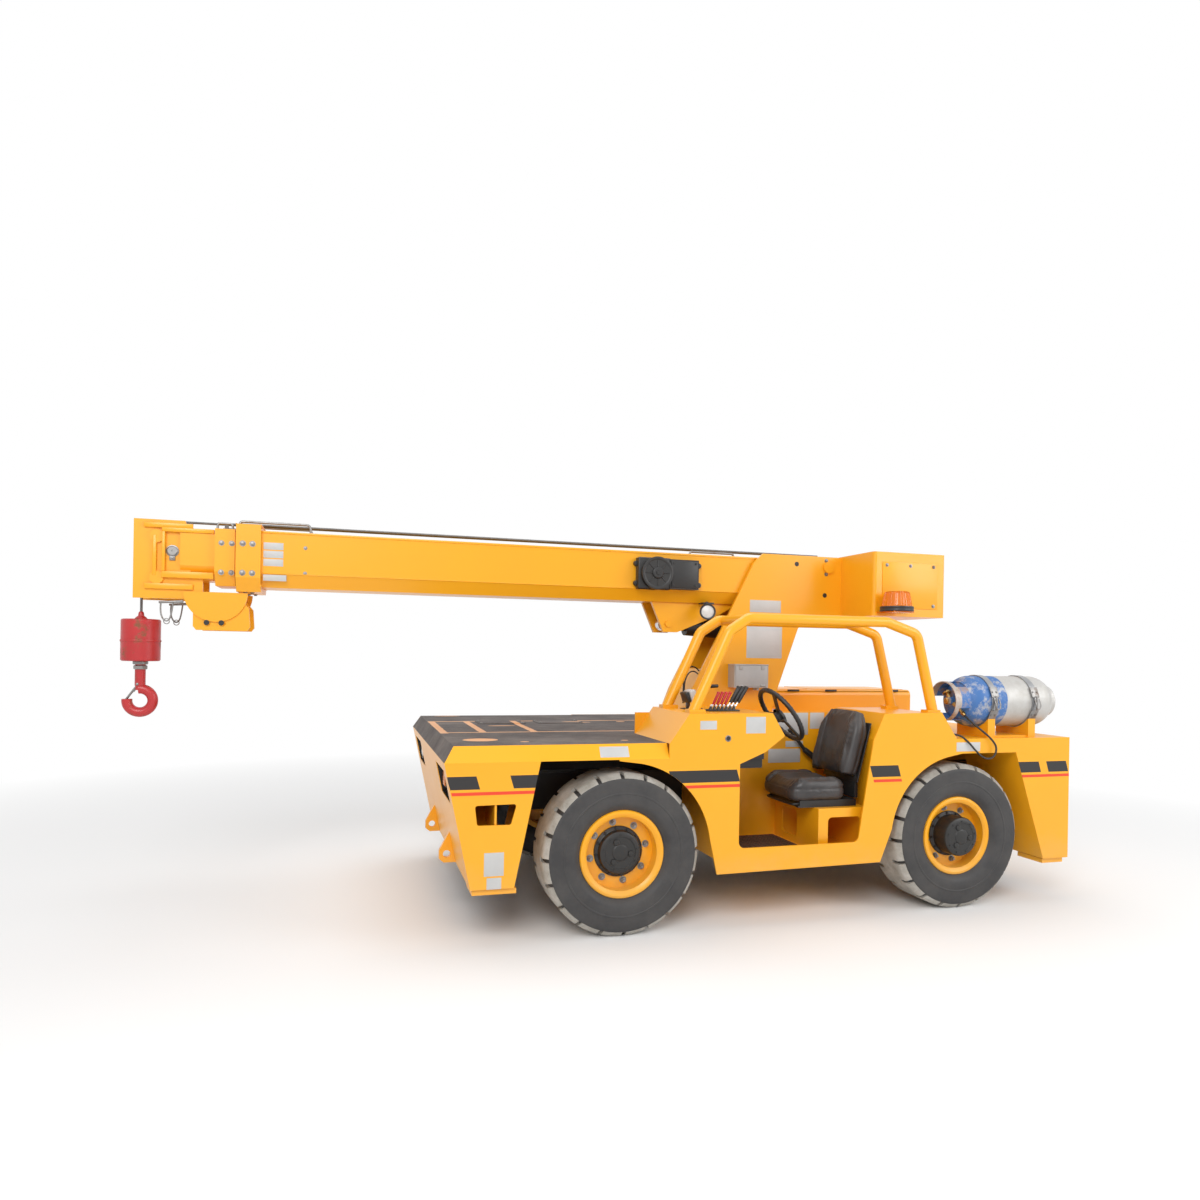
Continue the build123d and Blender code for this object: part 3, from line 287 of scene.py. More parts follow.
def tyreWall():
    made, tree, shader, place = newFinish("tyreWall")
    dusty = ramp(noise(place, 5.0, 5.0, 0.7), 0.38, 0.75)
    feed(tree, shader, "Base Color", mixTone(dusty * 0.7, rubber["wall"], rubber["wallDust"]))
    feed(tree, shader, "Roughness", 0.52 + dusty * 0.25)
    bump(tree, shader, noise(place, 240.0, 2.0), 0.12, 0.001)
    return made


def tyreTread():
    made, tree, shader, place = newFinish("tyreTread")
    scuffed = ramp(noise(place, 11.0, 6.0, 0.75), 0.35, 0.7)
    feed(tree, shader, "Base Color", mixTone(scuffed, rubber["tread"], rubber["treadPale"]))
    feed(tree, shader, "Roughness", 0.78 + scuffed * 0.15)
    bump(tree, shader, noise(place, 160.0, 3.0), 0.3, 0.002)
    return made


tankPaint = {
    "silver": rgb(0.53, 0.52, 0.50), "stain": rgb(0.40, 0.38, 0.34), "blue": rgb(0.05, 0.16, 0.42),
    "blueSpan": (-2.205, -1.915), "collarX": -1.975, "rust": rgb(0.36, 0.22, 0.14)
}


# bare alloy cylinder with a scuffed blue shoulder and a rusty collar
def tankAlloy():
    made, tree, shader, place = newFinish("tankAlloy")
    x, y, z = splitPlace(place)
    stain = ramp(noise(place, 8.0, 6.0, 0.7), 0.45, 0.78)
    scuff = ramp(noise(place, 14.0, 6.0, 0.75), 0.50, 0.62)
    edge = x + (noise(place, 30.0, 3.0) - 0.5) * 0.012
    blue = edge.between(*tankPaint["blueSpan"]) * (1 - scuff * 0.8)
    tone = mixTone(stain * 0.7, tankPaint["silver"], tankPaint["stain"])
    tone = mixTone((x > tankPaint["collarX"]) * (0.35 + scuff * 0.5), tone, tankPaint["rust"])
    feed(tree, shader, "Base Color", mixTone(blue, tone, tankPaint["blue"]))
    feed(tree, shader, "Roughness", 0.48 + stain * 0.2)
    feed(tree, shader, "Metallic", 0.35 - blue * 0.35)
    bump(tree, shader, noise(place, 60.0, 4.0), 0.12, 0.002)
    return made


# clear amber shell: glossy, a little light through it
def amberLens():
    made, tree, shader, place = newFinish("amberLens")
    cloud = noise(place, 30.0, 3.0)
    feed(tree, shader, "Base Color", mixTone(cloud, rgb(1.0, 0.30, 0.006), rgb(0.90, 0.20, 0.003)))
    feed(tree, shader, "Roughness", 0.12 + cloud * 0.08)
    shader.inputs["Transmission Weight"].default_value = 0.25
    shader.inputs["IOR"].default_value = 1.49
    return made


finishes = {
    "body_paint": yellowPaint(),
    "deck_coat": gritDeck(),
    "black_paint": plainFinish("blackPaint", rgb(0.020, 0.019, 0.018), 0.42, spread=0.2),
    "steel": wornFinish("bareSteel", rgb(0.34, 0.33, 0.32), rgb(0.16, 0.09, 0.05), 0.40, 0.52, 0.80, 14.0,
                        0.85),
    "rod_chrome": plainFinish("rodChrome", rgb(0.75, 0.75, 0.77), 0.14, 1.0, 60.0),
    "seat_vinyl": seatVinyl(),
    "black_plastic": plainFinish("blackPlastic", rgb(0.022, 0.021, 0.021), 0.42, grain=120.0, lift=0.0008,
                                 strength=0.3),
    "tank_alloy": tankAlloy(),
    "amber_plastic": amberLens(),
    "grey_paint": plainFinish("greyPaint", rgb(0.52, 0.53, 0.53), 0.38),
    "wire_rope": plainFinish("wireRope", rgb(0.20, 0.195, 0.19), 0.5, 0.8, 160.0, 0.004, 0.2, 0.5),
    "red_paint": wornFinish("hookRed", rgb(0.60, 0.035, 0.038), rgb(0.22, 0.085, 0.035), 0.32, 0.55, 0.66,
                            12.0),
    "tyre": tyreWall(),
}
cradlePaint = {"axis": (0.820, 1.185), "strap": 0.1585, "low": 1.02}


# painted saddles under the tank, galvanised straps round it
def cradleFinish():
    made, tree, shader, place, tone, (x, y, z) = paintBase("cradlePaint")
    offY, offZ = y - cradlePaint["axis"][0], z - cradlePaint["axis"][1]
    strap = ((offY * offY + offZ * offZ) < cradlePaint["strap"] ** 2) * (z > cradlePaint["low"])
    zinc = mixTone(noise(place, 24.0, 4.0), rgb(0.42, 0.43, 0.44), rgb(0.26, 0.26, 0.27))
    feed(tree, shader, "Base Color", mixTone(strap, tone, zinc))
    feed(tree, shader, "Metallic", strap * 0.8)
    return made


extra = {
    "striped": stripedPaint(),
    "cradle": cradleFinish(),
    "tread": tyreTread(),
    "label": plainFinish("blankLabel", rgb(0.66, 0.66, 0.65), 0.4, grain=20.0, spread=0.1),
    "lens": plainFinish("whiteLens", rgb(0.86, 0.87, 0.85), 0.16, grain=200.0),
    "redGrip": plainFinish("redGrip", rgb(0.62, 0.022, 0.026), 0.33, grain=80.0),
    "tailRed": plainFinish("tailRed", rgb(0.55, 0.012, 0.012), 0.15, grain=200.0),
    "mat": plainFinish("floorMat", rgb(0.115, 0.062, 0.038), 0.85, grain=60.0, lift=0.004, strength=0.5),
    "brass": plainFinish("valveBrass", rgb(0.58, 0.38, 0.14), 0.32, 1.0, 60.0),
    "hose": plainFinish("hoseRubber", rgb(0.025, 0.024, 0.024), 0.6, grain=160.0),
}
dressed = {
    "side_left": "striped", "side_right": "striped", "front_body": "striped", "rear_body": "striped",
    "tank_cradle": "cradle"
}
for row in frame["record"]["subparts"]:
    name = row["node"]
    made = extra[dressed[name]] if name in dressed else finishes[row["material_slot"]]
    nodes[name].data.materials.clear()
    nodes[name].data.materials.append(made)
print("finishes:", len(finishes) + len(extra))

cameraPlace = {
    "at": (1.5027, 4.9770, 1.4385), "yaw": -0.293, "pitch": -0.001, "roll": 0.017, "focalPixels": 838.07,
    "imagePixels": 1200, "centreRow": 652.99, "sensor": 36.0
}


def addCamera(made):
    yaw, pitch, roll = made["yaw"], made["pitch"], made["roll"]
    forward = Vector((math.sin(yaw) * math.cos(pitch), -math.cos(yaw) * math.cos(pitch), math.sin(pitch)))
    right = forward.cross(Vector((0, 0, 1))).normalized()
    up = right.cross(forward)
    tiltedRight = right * math.cos(roll) + up * math.sin(roll)
    tiltedUp = up * math.cos(roll) - right * math.sin(roll)
    lens = bpy.data.cameras.new("camera")
    lens.sensor_width = made["sensor"]
    lens.lens = made["focalPixels"] / made["imagePixels"] * made["sensor"]
    lens.shift_y = (made["centreRow"] - made["imagePixels"] / 2) / made["imagePixels"]
    lens.clip_end = 200
    camera = bpy.data.objects.new("camera", lens)
    turn = Matrix((tiltedRight, tiltedUp, -forward)).transposed()
    camera.matrix_world = Matrix.Translation(made["at"]) @ turn.to_4x4()
    scene.collection.objects.link(camera)
    scene.camera = camera


studio = {
    "floor": rgb(0.94, 0.94, 0.94), "sky": rgb(1.0, 1.0, 1.0), "skyPower": 0.40, "fadeFrom": 2.6,
    "fadeTo": 7.0, "floorHalf": 60, "floorRough": 0.75
}


# 1 where a ray shows the backdrop itself: straight, in a reflection or through glass
def seenRay(wire):
    straight = wire.node("LightPath", output="Is Camera Ray")
    mirrorRay = wire.node("LightPath", output="Is Glossy Ray")
    glassRay = wire.node("LightPath", output="Is Transmission Ray")
    return straight.larger(mirrorRay).larger(glassRay)


def addStage(made):
    mesh = bpy.data.meshes.new("floor")
    shape = bmesh.new()
    bmesh.ops.create_grid(shape, x_segments=1, y_segments=1, size=made["floorHalf"])
    shape.to_mesh(mesh)
    shape.free()
    floor = bpy.data.objects.new("floor", mesh)
    scene.collection.objects.link(floor)
    surface, tree, shader, place = newFinish("paleFloor")
    shader.inputs["Base Color"].default_value = made["floor"]
    shader.inputs["Roughness"].default_value = made["floorRough"]
    x, y, z = splitPlace(place)
    away = (x * x + y * y).maths("SQRT", x * x + y * y)
    fade = ramp((away - made["fadeFrom"]) / (made["fadeTo"] - made["fadeFrom"]), 0.0, 1.0)
    glow = tree.nodes.new("ShaderNodeEmission")
    mixed = tree.nodes.new("ShaderNodeMixShader")
    tree.links.new((fade * seenRay(x)).socket, mixed.inputs[0])
    tree.links.new(shader.outputs[0], mixed.inputs[1])
    tree.links.new(glow.outputs[0], mixed.inputs[2])
    tree.links.new(mixed.outputs[0], tree.nodes["Material Output"].inputs[0])
    mesh.materials.append(surface)
    world = bpy.data.worlds.new("studio")
    world.use_nodes = True
    links, back = world.node_tree.links, world.node_tree.nodes["Background"]
    back.inputs[0].default_value = made["sky"]
    seen = seenRay(Wire(world.node_tree, None))
    links.new((seen * (1 - made["skyPower"]) + made["skyPower"]).socket, back.inputs[1])
    scene.world = world


# each lamp: place, aim, power and size
lamps = {
    "keyLamp": ((3.5, 7.5, 6.0), (-0.3, 0, 0.9), 430, 4.5),
    "fillLamp": ((-6.0, 5.0, 4.0), (-0.5, 0, 0.9), 190, 4.0),
    "topLamp": ((0.0, -1.0, 7.5), (-0.3, 0, 1.0), 230, 6.0)
}


def addLamp(name, at, aim, power, size):
    light = bpy.data.lights.new(name, "AREA")
    light.energy, light.size = power, size
    lamp = bpy.data.objects.new(name, light)
    lamp.location = at
    lamp.rotation_euler = (Vector(aim) - Vector(at)).to_track_quat("-Z", "Y").to_euler()
    scene.collection.objects.link(lamp)


addCamera(cameraPlace)
addStage(studio)
for name, row in lamps.items():
    addLamp(name, *row)
scene.view_settings.view_transform = "Standard"
print("camera and lamps placed")


def spot(x, y, z):
    return Vector((x, y, z)) / 1000


def linesOf(corners):
    return list({line for corner in corners for line in corner.link_edges})


def softenLines(shape, lines, edge, steps):
    made = bmesh.ops.bevel(shape, geom=lines, offset=edge / 1000, offset_type="OFFSET", segments=steps,
                           profile=0.5, affect="EDGES", material=-1, clamp_overlap=True)
    return made["verts"]


# a block between two corners in millimetres, with softened edges
def addBlock(shape, low, high, edge, steps=2):
    low, high = spot(*low), spot(*high)
    place = Matrix.Translation((low + high) / 2) @ Matrix.Diagonal((*(high - low), 1))
    corners = bmesh.ops.create_cube(shape, size=1, matrix=place)["verts"]
    return softenLines(shape, linesOf(corners), edge, steps)


# a block on one side of the machine, its span along Y measured outwards
def addSideBlock(shape, side, spanX, spanY, spanZ, edge):
    inner, outer = sorted(side * y for y in spanY)
    addBlock(shape, (spanX[0], inner, spanZ[0]), (spanX[1], outer, spanZ[1]), edge)


def turnCorners(shape, corners, degrees, axis, about):
    turn = Matrix.Rotation(math.radians(degrees), 3, axis)
    bmesh.ops.rotate(shape, verts=corners, cent=spot(*about), matrix=turn)


# a round bar or cone between two points
def addRod(shape, start, end, radius, endRadius=None, sides=24, edge=0.0):
    start, end = spot(*start), spot(*end)
    line = end - start
    place = Matrix.Translation((start + end) / 2) @ line.to_track_quat("Z", "Y").to_matrix().to_4x4()
    last = radius if endRadius is None else endRadius
    corners = bmesh.ops.create_cone(shape, cap_ends=True, segments=sides, radius1=radius / 1000,
                                    radius2=last / 1000, depth=line.length, matrix=place)["verts"]
    if edge:
        along = line.normalized()
        rims = [rim for rim in linesOf(corners)
                if abs((rim.verts[1].co - rim.verts[0].co).dot(along)) < 1e-6]
        softenLines(shape, rims, edge, 2)


# a profile of (radius, distance along the axis) turned about an axis
def addTurned(shape, profile, centre, axis, steps, closed=False):
    axis, centre = Vector(axis).normalized(), spot(*centre)
    out = Vector((0, 0, 1)) if abs(axis.z) < 0.9 else Vector((1, 0, 0))
    out = (out - axis * out.dot(axis)).normalized()
    ring = [shape.verts.new(centre + out * radius / 1000 + axis * along / 1000) for radius, along in profile]
    pairs = list(zip(ring, ring[1:])) + ([(ring[-1], ring[0])] if closed else [])
    lines = [shape.edges.new(pair) for pair in pairs]
    bmesh.ops.spin(shape, geom=ring + lines, cent=centre, axis=axis, dvec=(0, 0, 0), angle=math.tau,
                   steps=steps, use_merge=True, use_duplicate=False)


def newCurve(points, radius):
    curve = bpy.data.curves.new("tube", "CURVE")
    curve.dimensions = "3D"
    curve.bevel_depth, curve.bevel_resolution = radius / 1000, 4
    curve.use_fill_caps = True
    curve.resolution_u = 10
    line = curve.splines.new("NURBS")
    line.points.add(len(points) - 1)
    for point, place in zip(line.points, points):
        point.co = (*spot(*place), 1)
    line.order_u = 3
    line.use_endpoint_u = True
    return curve


# a curve's mesh; the curve itself is used up
def meshOf(curve):
    holder = bpy.data.objects.new("tube", curve)
    mesh = bpy.data.meshes.new_from_object(holder)
    bpy.data.objects.remove(holder)
    bpy.data.curves.remove(curve)
    return mesh


# a bent tube joined into a shape
def addTube(shape, points, radius):
    mesh = meshOf(newCurve(points, radius))
    shape.from_mesh(mesh)
    bpy.data.meshes.remove(mesh)


# hexagon head on a washer
def addBolt(shape, at, facing, radius, height):
    at, facing = Vector(at), Vector(facing).normalized()
    addRod(shape, at - facing * 1.0, at + facing * 2.0, radius * 1.45, sides=16)
    addRod(shape, at + facing * 1.5, at + facing * height, radius, radius * 0.95, 6, radius * 0.08)


# bolts on every crossing of the rows given
def addBolts(shape, xs, ys, zs, facing, radius, height):
    for at in product(xs, ys, zs):
        addBolt(shape, at, facing, radius, height)


def settle(name, shape, slot, body, finish=None, more=(), sharp=32.0):
    bmesh.ops.remove_doubles(shape, verts=shape.verts[:], dist=1e-6)
    bmesh.ops.recalc_face_normals(shape, faces=shape.faces[:])
    for face in shape.faces:
        face.smooth = True
    for line in shape.edges:
        line.smooth = line.is_manifold and line.calc_face_angle(0.0) < math.radians(sharp)
    mesh = bpy.data.meshes.new(name)
    shape.to_mesh(mesh)
    shape.free()
    for made in (finish or finishes[slot], *more):
        mesh.materials.append(made)
    piece = bpy.data.objects.new(name, mesh)
    scene.collection.objects.link(piece)
    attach(piece, body)
    return piece


# short free hoses, each one smooth line: the gas line at the tank and two at the mast's front
hoses = {
    "gasHose": {"body": "chassis", "radius": 5.5, "points": [(-1962, 900, 1105), (-1974, 940, 1070),
        (-2012, 984, 1024), (-2066, 1003, 976), (-2104, 1006, 924), (-2078, 1007, 866), (-2014, 1007, 862),
        (-1956, 1005, 908), (-1908, 992, 966), (-1866, 974, 1000), (-1820, 948, 1004)]},
    "mastHoseHigh": {"body": "turret", "radius": 4.2, "points": [(-624, 100, 1330), (-594, 100, 1362),
        (-548, 101, 1352), (-520, 103, 1296), (-516, 103, 1226), (-517, 101, 1166), (-518, 100, 1128)]},
    "mastHoseLow": {"body": "turret", "radius": 4.2, "points": [(-612, 132, 1302), (-582, 132, 1334),
        (-538, 131, 1322), (-514, 130, 1268), (-512, 129, 1208), (-516, 128, 1166), (-521, 128, 1132)]}
}


# a curve's own length, read from its line with no thickness
def lineLength(curve):
    bare = curve.copy()
    bare.bevel_depth = 0
    mesh = meshOf(bare)
    places = [vertex.co.copy() for vertex in mesh.vertices]
    bpy.data.meshes.remove(mesh)
    return sum((b - a).length for a, b in zip(places, places[1:]))


for name, made in hoses.items():
    curve = newCurve(made["points"], made["radius"])
    curve.materials.append(extra["hose"])
    hose = bpy.data.objects.new(name, curve)
    scene.collection.objects.link(hose)
    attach(hose, made["body"])
    lineLength(curve)
    made["radius"] * 0.002
print("hoses:", len(hoses))

wheelForm = {"radius": 415, "y": 834, "axles": {"front": 150, "rear": -1882}}


def wheelCentre(axle, side):
    return wheelForm["axles"][axle], wheelForm["y"] * side, wheelForm["radius"]


def cornerName(axle, side):
    return axle + ("_left" if side > 0 else "_right")


tyreForm = {
    "pitches": 20, "perPitch": 6, "groove": 15, "treadFrom": 387, "rowFrom": 55,
    "wall": [(204, 92), (222, 106), (236, 119), (250, 132), (264, 138), (288, 140), (306, 140), (309, 142),
        (315, 142), (318, 140), (352, 140), (372, 140), (383, 139), (388, 136), (411, 113), (414.4, 104),
        (415, 57)]
}


# one tyre: a turned section, its shoulder grooves pushed in, the tread in a second finish
def addTyre(axle, side, pitches, perPitch, groove, treadFrom, rowFrom, wall):
    centre, corner = wheelCentre(axle, side), cornerName(axle, side)
    rows = wall + [(wheelForm["radius"], 0)] + [(radius, -along) for radius, along in reversed(wall)]
    steps = pitches * perPitch
    shape = bmesh.new()
    addTurned(shape, rows, centre, (0, 1, 0), steps, closed=True)
    bmesh.ops.remove_doubles(shape, verts=shape.verts[:], dist=1e-6)
    bmesh.ops.recalc_face_normals(shape, faces=shape.faces[:])
    middle = spot(*centre)
    grooves = []
    for face in shape.faces:
        away = face.calc_center_median() - middle
        tread = math.hypot(away.x, away.z) * 1000 > treadFrom
        face.material_index = 1 if tread else 0
        column = int((math.atan2(away.x, away.z) % math.tau) / math.tau * steps)
        shift = 0 if away.y > 0 else perPitch // 2
        if tread and abs(away.y) * 1000 > rowFrom and (column + shift) % perPitch == 0:
            grooves.append(face)
    pushed = bmesh.ops.extrude_face_region(shape, geom=grooves)["geom"]
    bmesh.ops.delete(shape, geom=grooves, context="FACES")
    for part in pushed:
        if isinstance(part, bmesh.types.BMFace):
            part.material_index = 0
        elif isinstance(part, bmesh.types.BMVert):
            away = part.co - middle
            away.y = 0
            part.co -= away.normalized() * groove / 1000
    tyre = settle("tyre_%s_dress" % corner, shape, "tyre", "wheel_" + corner, more=[extra["tread"]])
    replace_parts(tyre, "tyre_" + corner)


# rings are count, radius and first angle; the flange is measured from the disc, the cap from the hub's face
hubForm = {
    "faces": {"front": 78, "rear": 150}, "disc": 34, "nuts": (8, 153, 0.2), "studs": (12, 121, 0.13),
    "pins": (3, 58, 0.4), "screws": (9, 91, 0.0),
    "flange": [(130, -1), (130, 9), (126, 12), (116, 13), (112, 16)],
    "cap": [(112, -12), (107, -2), (97, 2), (86, 4), (82, 4), (80, 1.6), (44, 1.6), (42, 4), (36, 6), (0, 6)],
    "lip": [(188, 106), (198, 115), (210, 119), (221, 116), (225, 109), (220, 103), (204, 102)]
}


def roundPlaces(ring, centre, along, side):
    count, circle, start = ring
    x, y, z = centre
    for turn in range(count):
        angle = math.tau * turn / count + start
        yield x + circle * math.sin(angle), y + along * side, z + circle * math.cos(angle)


# black planetary hub with studs and cover pins, wheel nuts on the disc and a rolled lip on the rim
def addHub(axle, side, faces, disc, nuts, studs, pins, screws, flange, cap, lip):
    face, centre, out = faces[axle], wheelCentre(axle, side), (0, side, 0)
    body = "wheel_" + cornerName(axle, side)
    shape = bmesh.new()
    profile = [(radius, disc + along) for radius, along in flange]
    profile += [(radius, face + along) for radius, along in cap]
    addTurned(shape, profile, centre, out, 56)
    for at in roundPlaces(studs, centre, disc + 12, side):
        addBolt(shape, at, out, 6.0, 8.0)
    for x, y, z in roundPlaces(pins, centre, face + 1, side):
        addRod(shape, (x, y, z), (x, y + 7 * side, z), 17, 14, 20, 1.2)
    for x, y, z in roundPlaces(screws, centre, face + 2, side):
        addRod(shape, (x, y, z), (x, y + 5 * side, z), 4.5, sides=6)
    settle("hub_" + body, shape, "black_paint", body)
    shape = bmesh.new()
    for x, y, z in roundPlaces(nuts, centre, disc, side):
        addBolt(shape, (x, y, z), out, 13.0, 15.0)
        addRod(shape, (x, y + 14 * side, z), (x, y + 24 * side, z), 8, 7, 12)
    settle("nuts_" + body, shape, "steel", body)
    shape = bmesh.new()
    addTurned(shape, lip, centre, out, 64, closed=True)
    settle("lip_" + body, shape, "body_paint", body)


for axle, side in product(("front", "rear"), (1, -1)):
    addTyre(axle, side, **tyreForm)
    addHub(axle, side, **hubForm)
print("wheels dressed")

padForm = {
    "cuts": 11, "corner": 5.0, "rim": 0.07, "crown": 0.10, "voxel": 0.008, "pressure": 4.0, "cap": 0.009,
    "frames": 20, "seamDepth": 0.006, "seamWidth": 0.006
}


# 0 to 1, smooth, as a value goes from low to high
def easeIn(value, low, high):
    share = min(max((value - low) / (high - low), 0.0), 1.0)
    return share * share * (3 - 2 * share)


# a box with many faces whose plan and rims are rounded over, still in units of its half sizes
def addPad(shape, low, high):
    low, high = spot(*low), spot(*high)
    power = padForm["corner"]
    bmesh.ops.create_cube(shape, size=2)
    bmesh.ops.subdivide_edges(shape, edges=shape.edges[:], cuts=padForm["cuts"], use_grid_fill=True)
    for vertex in shape.verts:
        u, v, w = vertex.co
        plan = (abs(u) ** power + abs(v) ** power) ** (1 / power)
        if plan > 0:
            u, v = u * max(abs(u), abs(v)) / plan, v * max(abs(u), abs(v)) / plan
        rim = 1 - padForm["rim"] * abs(w) ** 4
        crown = 1 - padForm["crown"] * max(abs(u), abs(v)) ** 6
        vertex.co = Vector((u * rim, v * rim, w * crown))
    return (low + high) / 2, (high - low) / 2


# swell a closed pad as stuffed cloth, with no point moving further than the cap
def puff(piece):
    piece.data.remesh_voxel_size = padForm["voxel"]
    with bpy.context.temp_override(object=piece, active_object=piece, selected_objects=[piece]):
        bpy.ops.object.voxel_remesh()
    home = [vertex.co.copy() for vertex in piece.data.vertices]
    cloth = piece.modifiers.new("stuffing", "CLOTH")
    cloth.settings.use_pressure = True
    cloth.settings.uniform_pressure_force = padForm["pressure"]
    cloth.settings.effector_weights.gravity = 0
    for step in range(1, padForm["frames"] + 1):
        scene.frame_set(step)
    grown = piece.evaluated_get(bpy.context.evaluated_depsgraph_get()).data
    moves = [vertex.co - start for vertex, start in zip(grown.vertices, home)]
    piece.modifiers.remove(cloth)
    scene.frame_set(1)
    for vertex, start, move in zip(piece.data.vertices, home, moves):
        reach = min(move.length, padForm["cap"])
        vertex.co = start + (move.normalized() * reach if move.length > 0 else move)
    for face in piece.data.polygons:
        face.use_smooth = True


# sewn channels: points near a line are drawn in along their normals
def sew(piece, distances):
    for vertex in piece.data.vertices:
        near = min(abs(distance(vertex.co)) for distance in distances)
        pull = padForm["seamDepth"] * math.exp(-(near / padForm["seamWidth"]) ** 2)
        if pull > 1e-5:
            vertex.co -= vertex.normal * pull


def finishPad(piece, distances, node):
    puff(piece)
    sew(piece, distances)
    finer = piece.modifiers.new("finer", "SUBSURF")
    finer.levels = finer.render_levels = 1
    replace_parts(piece, node)


cushionForm = {
    "low": (-1196, 512, 640), "high": (-832, 918, 744), "bolster": 0.015, "dip": 0.020, "fall": 0.030,
    "seamY": 0.115, "seamZ": 0.012
}


def addCushion(low, high, bolster, dip, fall, seamY, seamZ):
    shape = bmesh.new()
    middle, half = addPad(shape, low, high)
    for vertex in shape.verts:
        u, v, w = vertex.co
        rise = bolster * easeIn(abs(v), 0.50, 0.78) * easeIn(u, -1.0, -0.6)
        rise -= dip * (1 - easeIn(abs(v), 0.0, 0.6)) * (1 - abs(u) ** 2)
        rise -= fall * easeIn(u, 0.55, 1.0)
        vertex.co = middle + Vector((u * half.x, v * half.y, w * half.z + rise * easeIn(w, 0.0, 1.0)))
    piece = settle("seatCushion", shape, "seat_vinyl", "chassis", sharp=180)
    finishPad(piece, [lambda at: (abs(at.y - middle.y) - seamY) if at.z > middle.z else 1.0,
                      lambda at: at.z - (middle.z + seamZ)], "seat_cushion")


backForm = {
    "base": (-1205, 715, 762), "size": (92, 396, 384), "lean": -14.0, "wing": 0.026, "lumbar": 0.014,
    "inset": 0.012, "narrow": 0.20, "thin": 0.25, "seamY": 0.112, "seamX": 0.014
}


def addSeatBack(base, size, lean, wing, lumbar, inset, narrow, thin, seamY, seamX):
    depth, width, height = size
    shape = bmesh.new()
    middle, half = addPad(shape, (-depth / 2, -width / 2, 0), (depth / 2, width / 2, height))
    place = Matrix.Translation(spot(*base)) @ Matrix.Rotation(math.radians(lean), 4, "Y")
    for vertex in shape.verts:
        u, v, w = vertex.co
        swell = wing * easeIn(abs(v), 0.50, 0.80) * (1 - easeIn(w, 0.5, 1.0) * 0.6)
        swell += lumbar * math.exp(-((w + 0.45) / 0.4) ** 2) * (1 - easeIn(abs(v), 0.2, 0.6))
        along = u * half.x * (1 - thin * easeIn(w, 0.2, 1.0)) + (swell - inset) * easeIn(u, 0.0, 1.0)
        across = v * half.y * (1 - narrow * easeIn(w, 0.10, 1.0) ** 2)
        vertex.co = middle + Vector((along, across, w * half.z))
    bmesh.ops.transform(shape, matrix=place, verts=shape.verts[:])
    piece = settle("seatBack", shape, "seat_vinyl", "chassis", sharp=180)
    home = place.inverted()
    finishPad(piece, [lambda at: abs((home @ at).y) - seamY if (home @ at).x > 0 else 1.0,
                      lambda at: (home @ at).x + seamX], "seat_back")


seatShell = {
    "railYs": (560, 870),
    "bar": [(-905, 560, 622), (-868, 560, 618), (-858, 600, 616), (-858, 830, 616), (-868, 870, 618),
        (-905, 870, 622)]
}


# moulded shell behind the back pad, slide rails with a latch bar
def addSeatShell(railYs, bar):
    (x, y, z), (depth, width, height) = backForm["base"], backForm["size"]
    shape = bmesh.new()
    rear, reach = x - depth / 2, width / 2 - 22
    corners = addBlock(shape, (rear - 14, y - reach, z - 20), (rear - 6, y + reach, z + height - 60), 5.0, 3)
    turnCorners(shape, corners, backForm["lean"], "Y", (x, y, z))
    addBlock(shape, (x - 70, y - 150, 640), (x - 48, y + 150, z + 20), 4.0)
    settle("seatShell", shape, "black_plastic", "chassis")
    shape = bmesh.new()
    for y in railYs:
        addBlock(shape, (-1240, y - 14, 601), (-885, y + 14, 612), 1.5)
        addBlock(shape, (-1225, y - 9, 611), (-900, y + 9, 639), 1.5)
    addTube(shape, bar, 6)
    settle("seatRails", shape, "black_paint", "chassis")


addCushion(**cushionForm)
addSeatBack(**backForm)
addSeatShell(**seatShell)
print("seat made")

# grips are lean, height and radius
leverForm = {
    "count": 7, "reds": 4, "x": -382, "pitch": 23, "y": 810, "z": 1130, "red": (46, 94, 8.5),
    "black": (74, 124, 11.5), "handleX": -352, "handleY": 732,
    "bend": [(0, -4), (-4, 70), (-10, 104), (-40, 128), (-78, 132)],
    "foot": [(24, -2), (24, 4), (18, 10), (9, 14), (0, 14)]
}


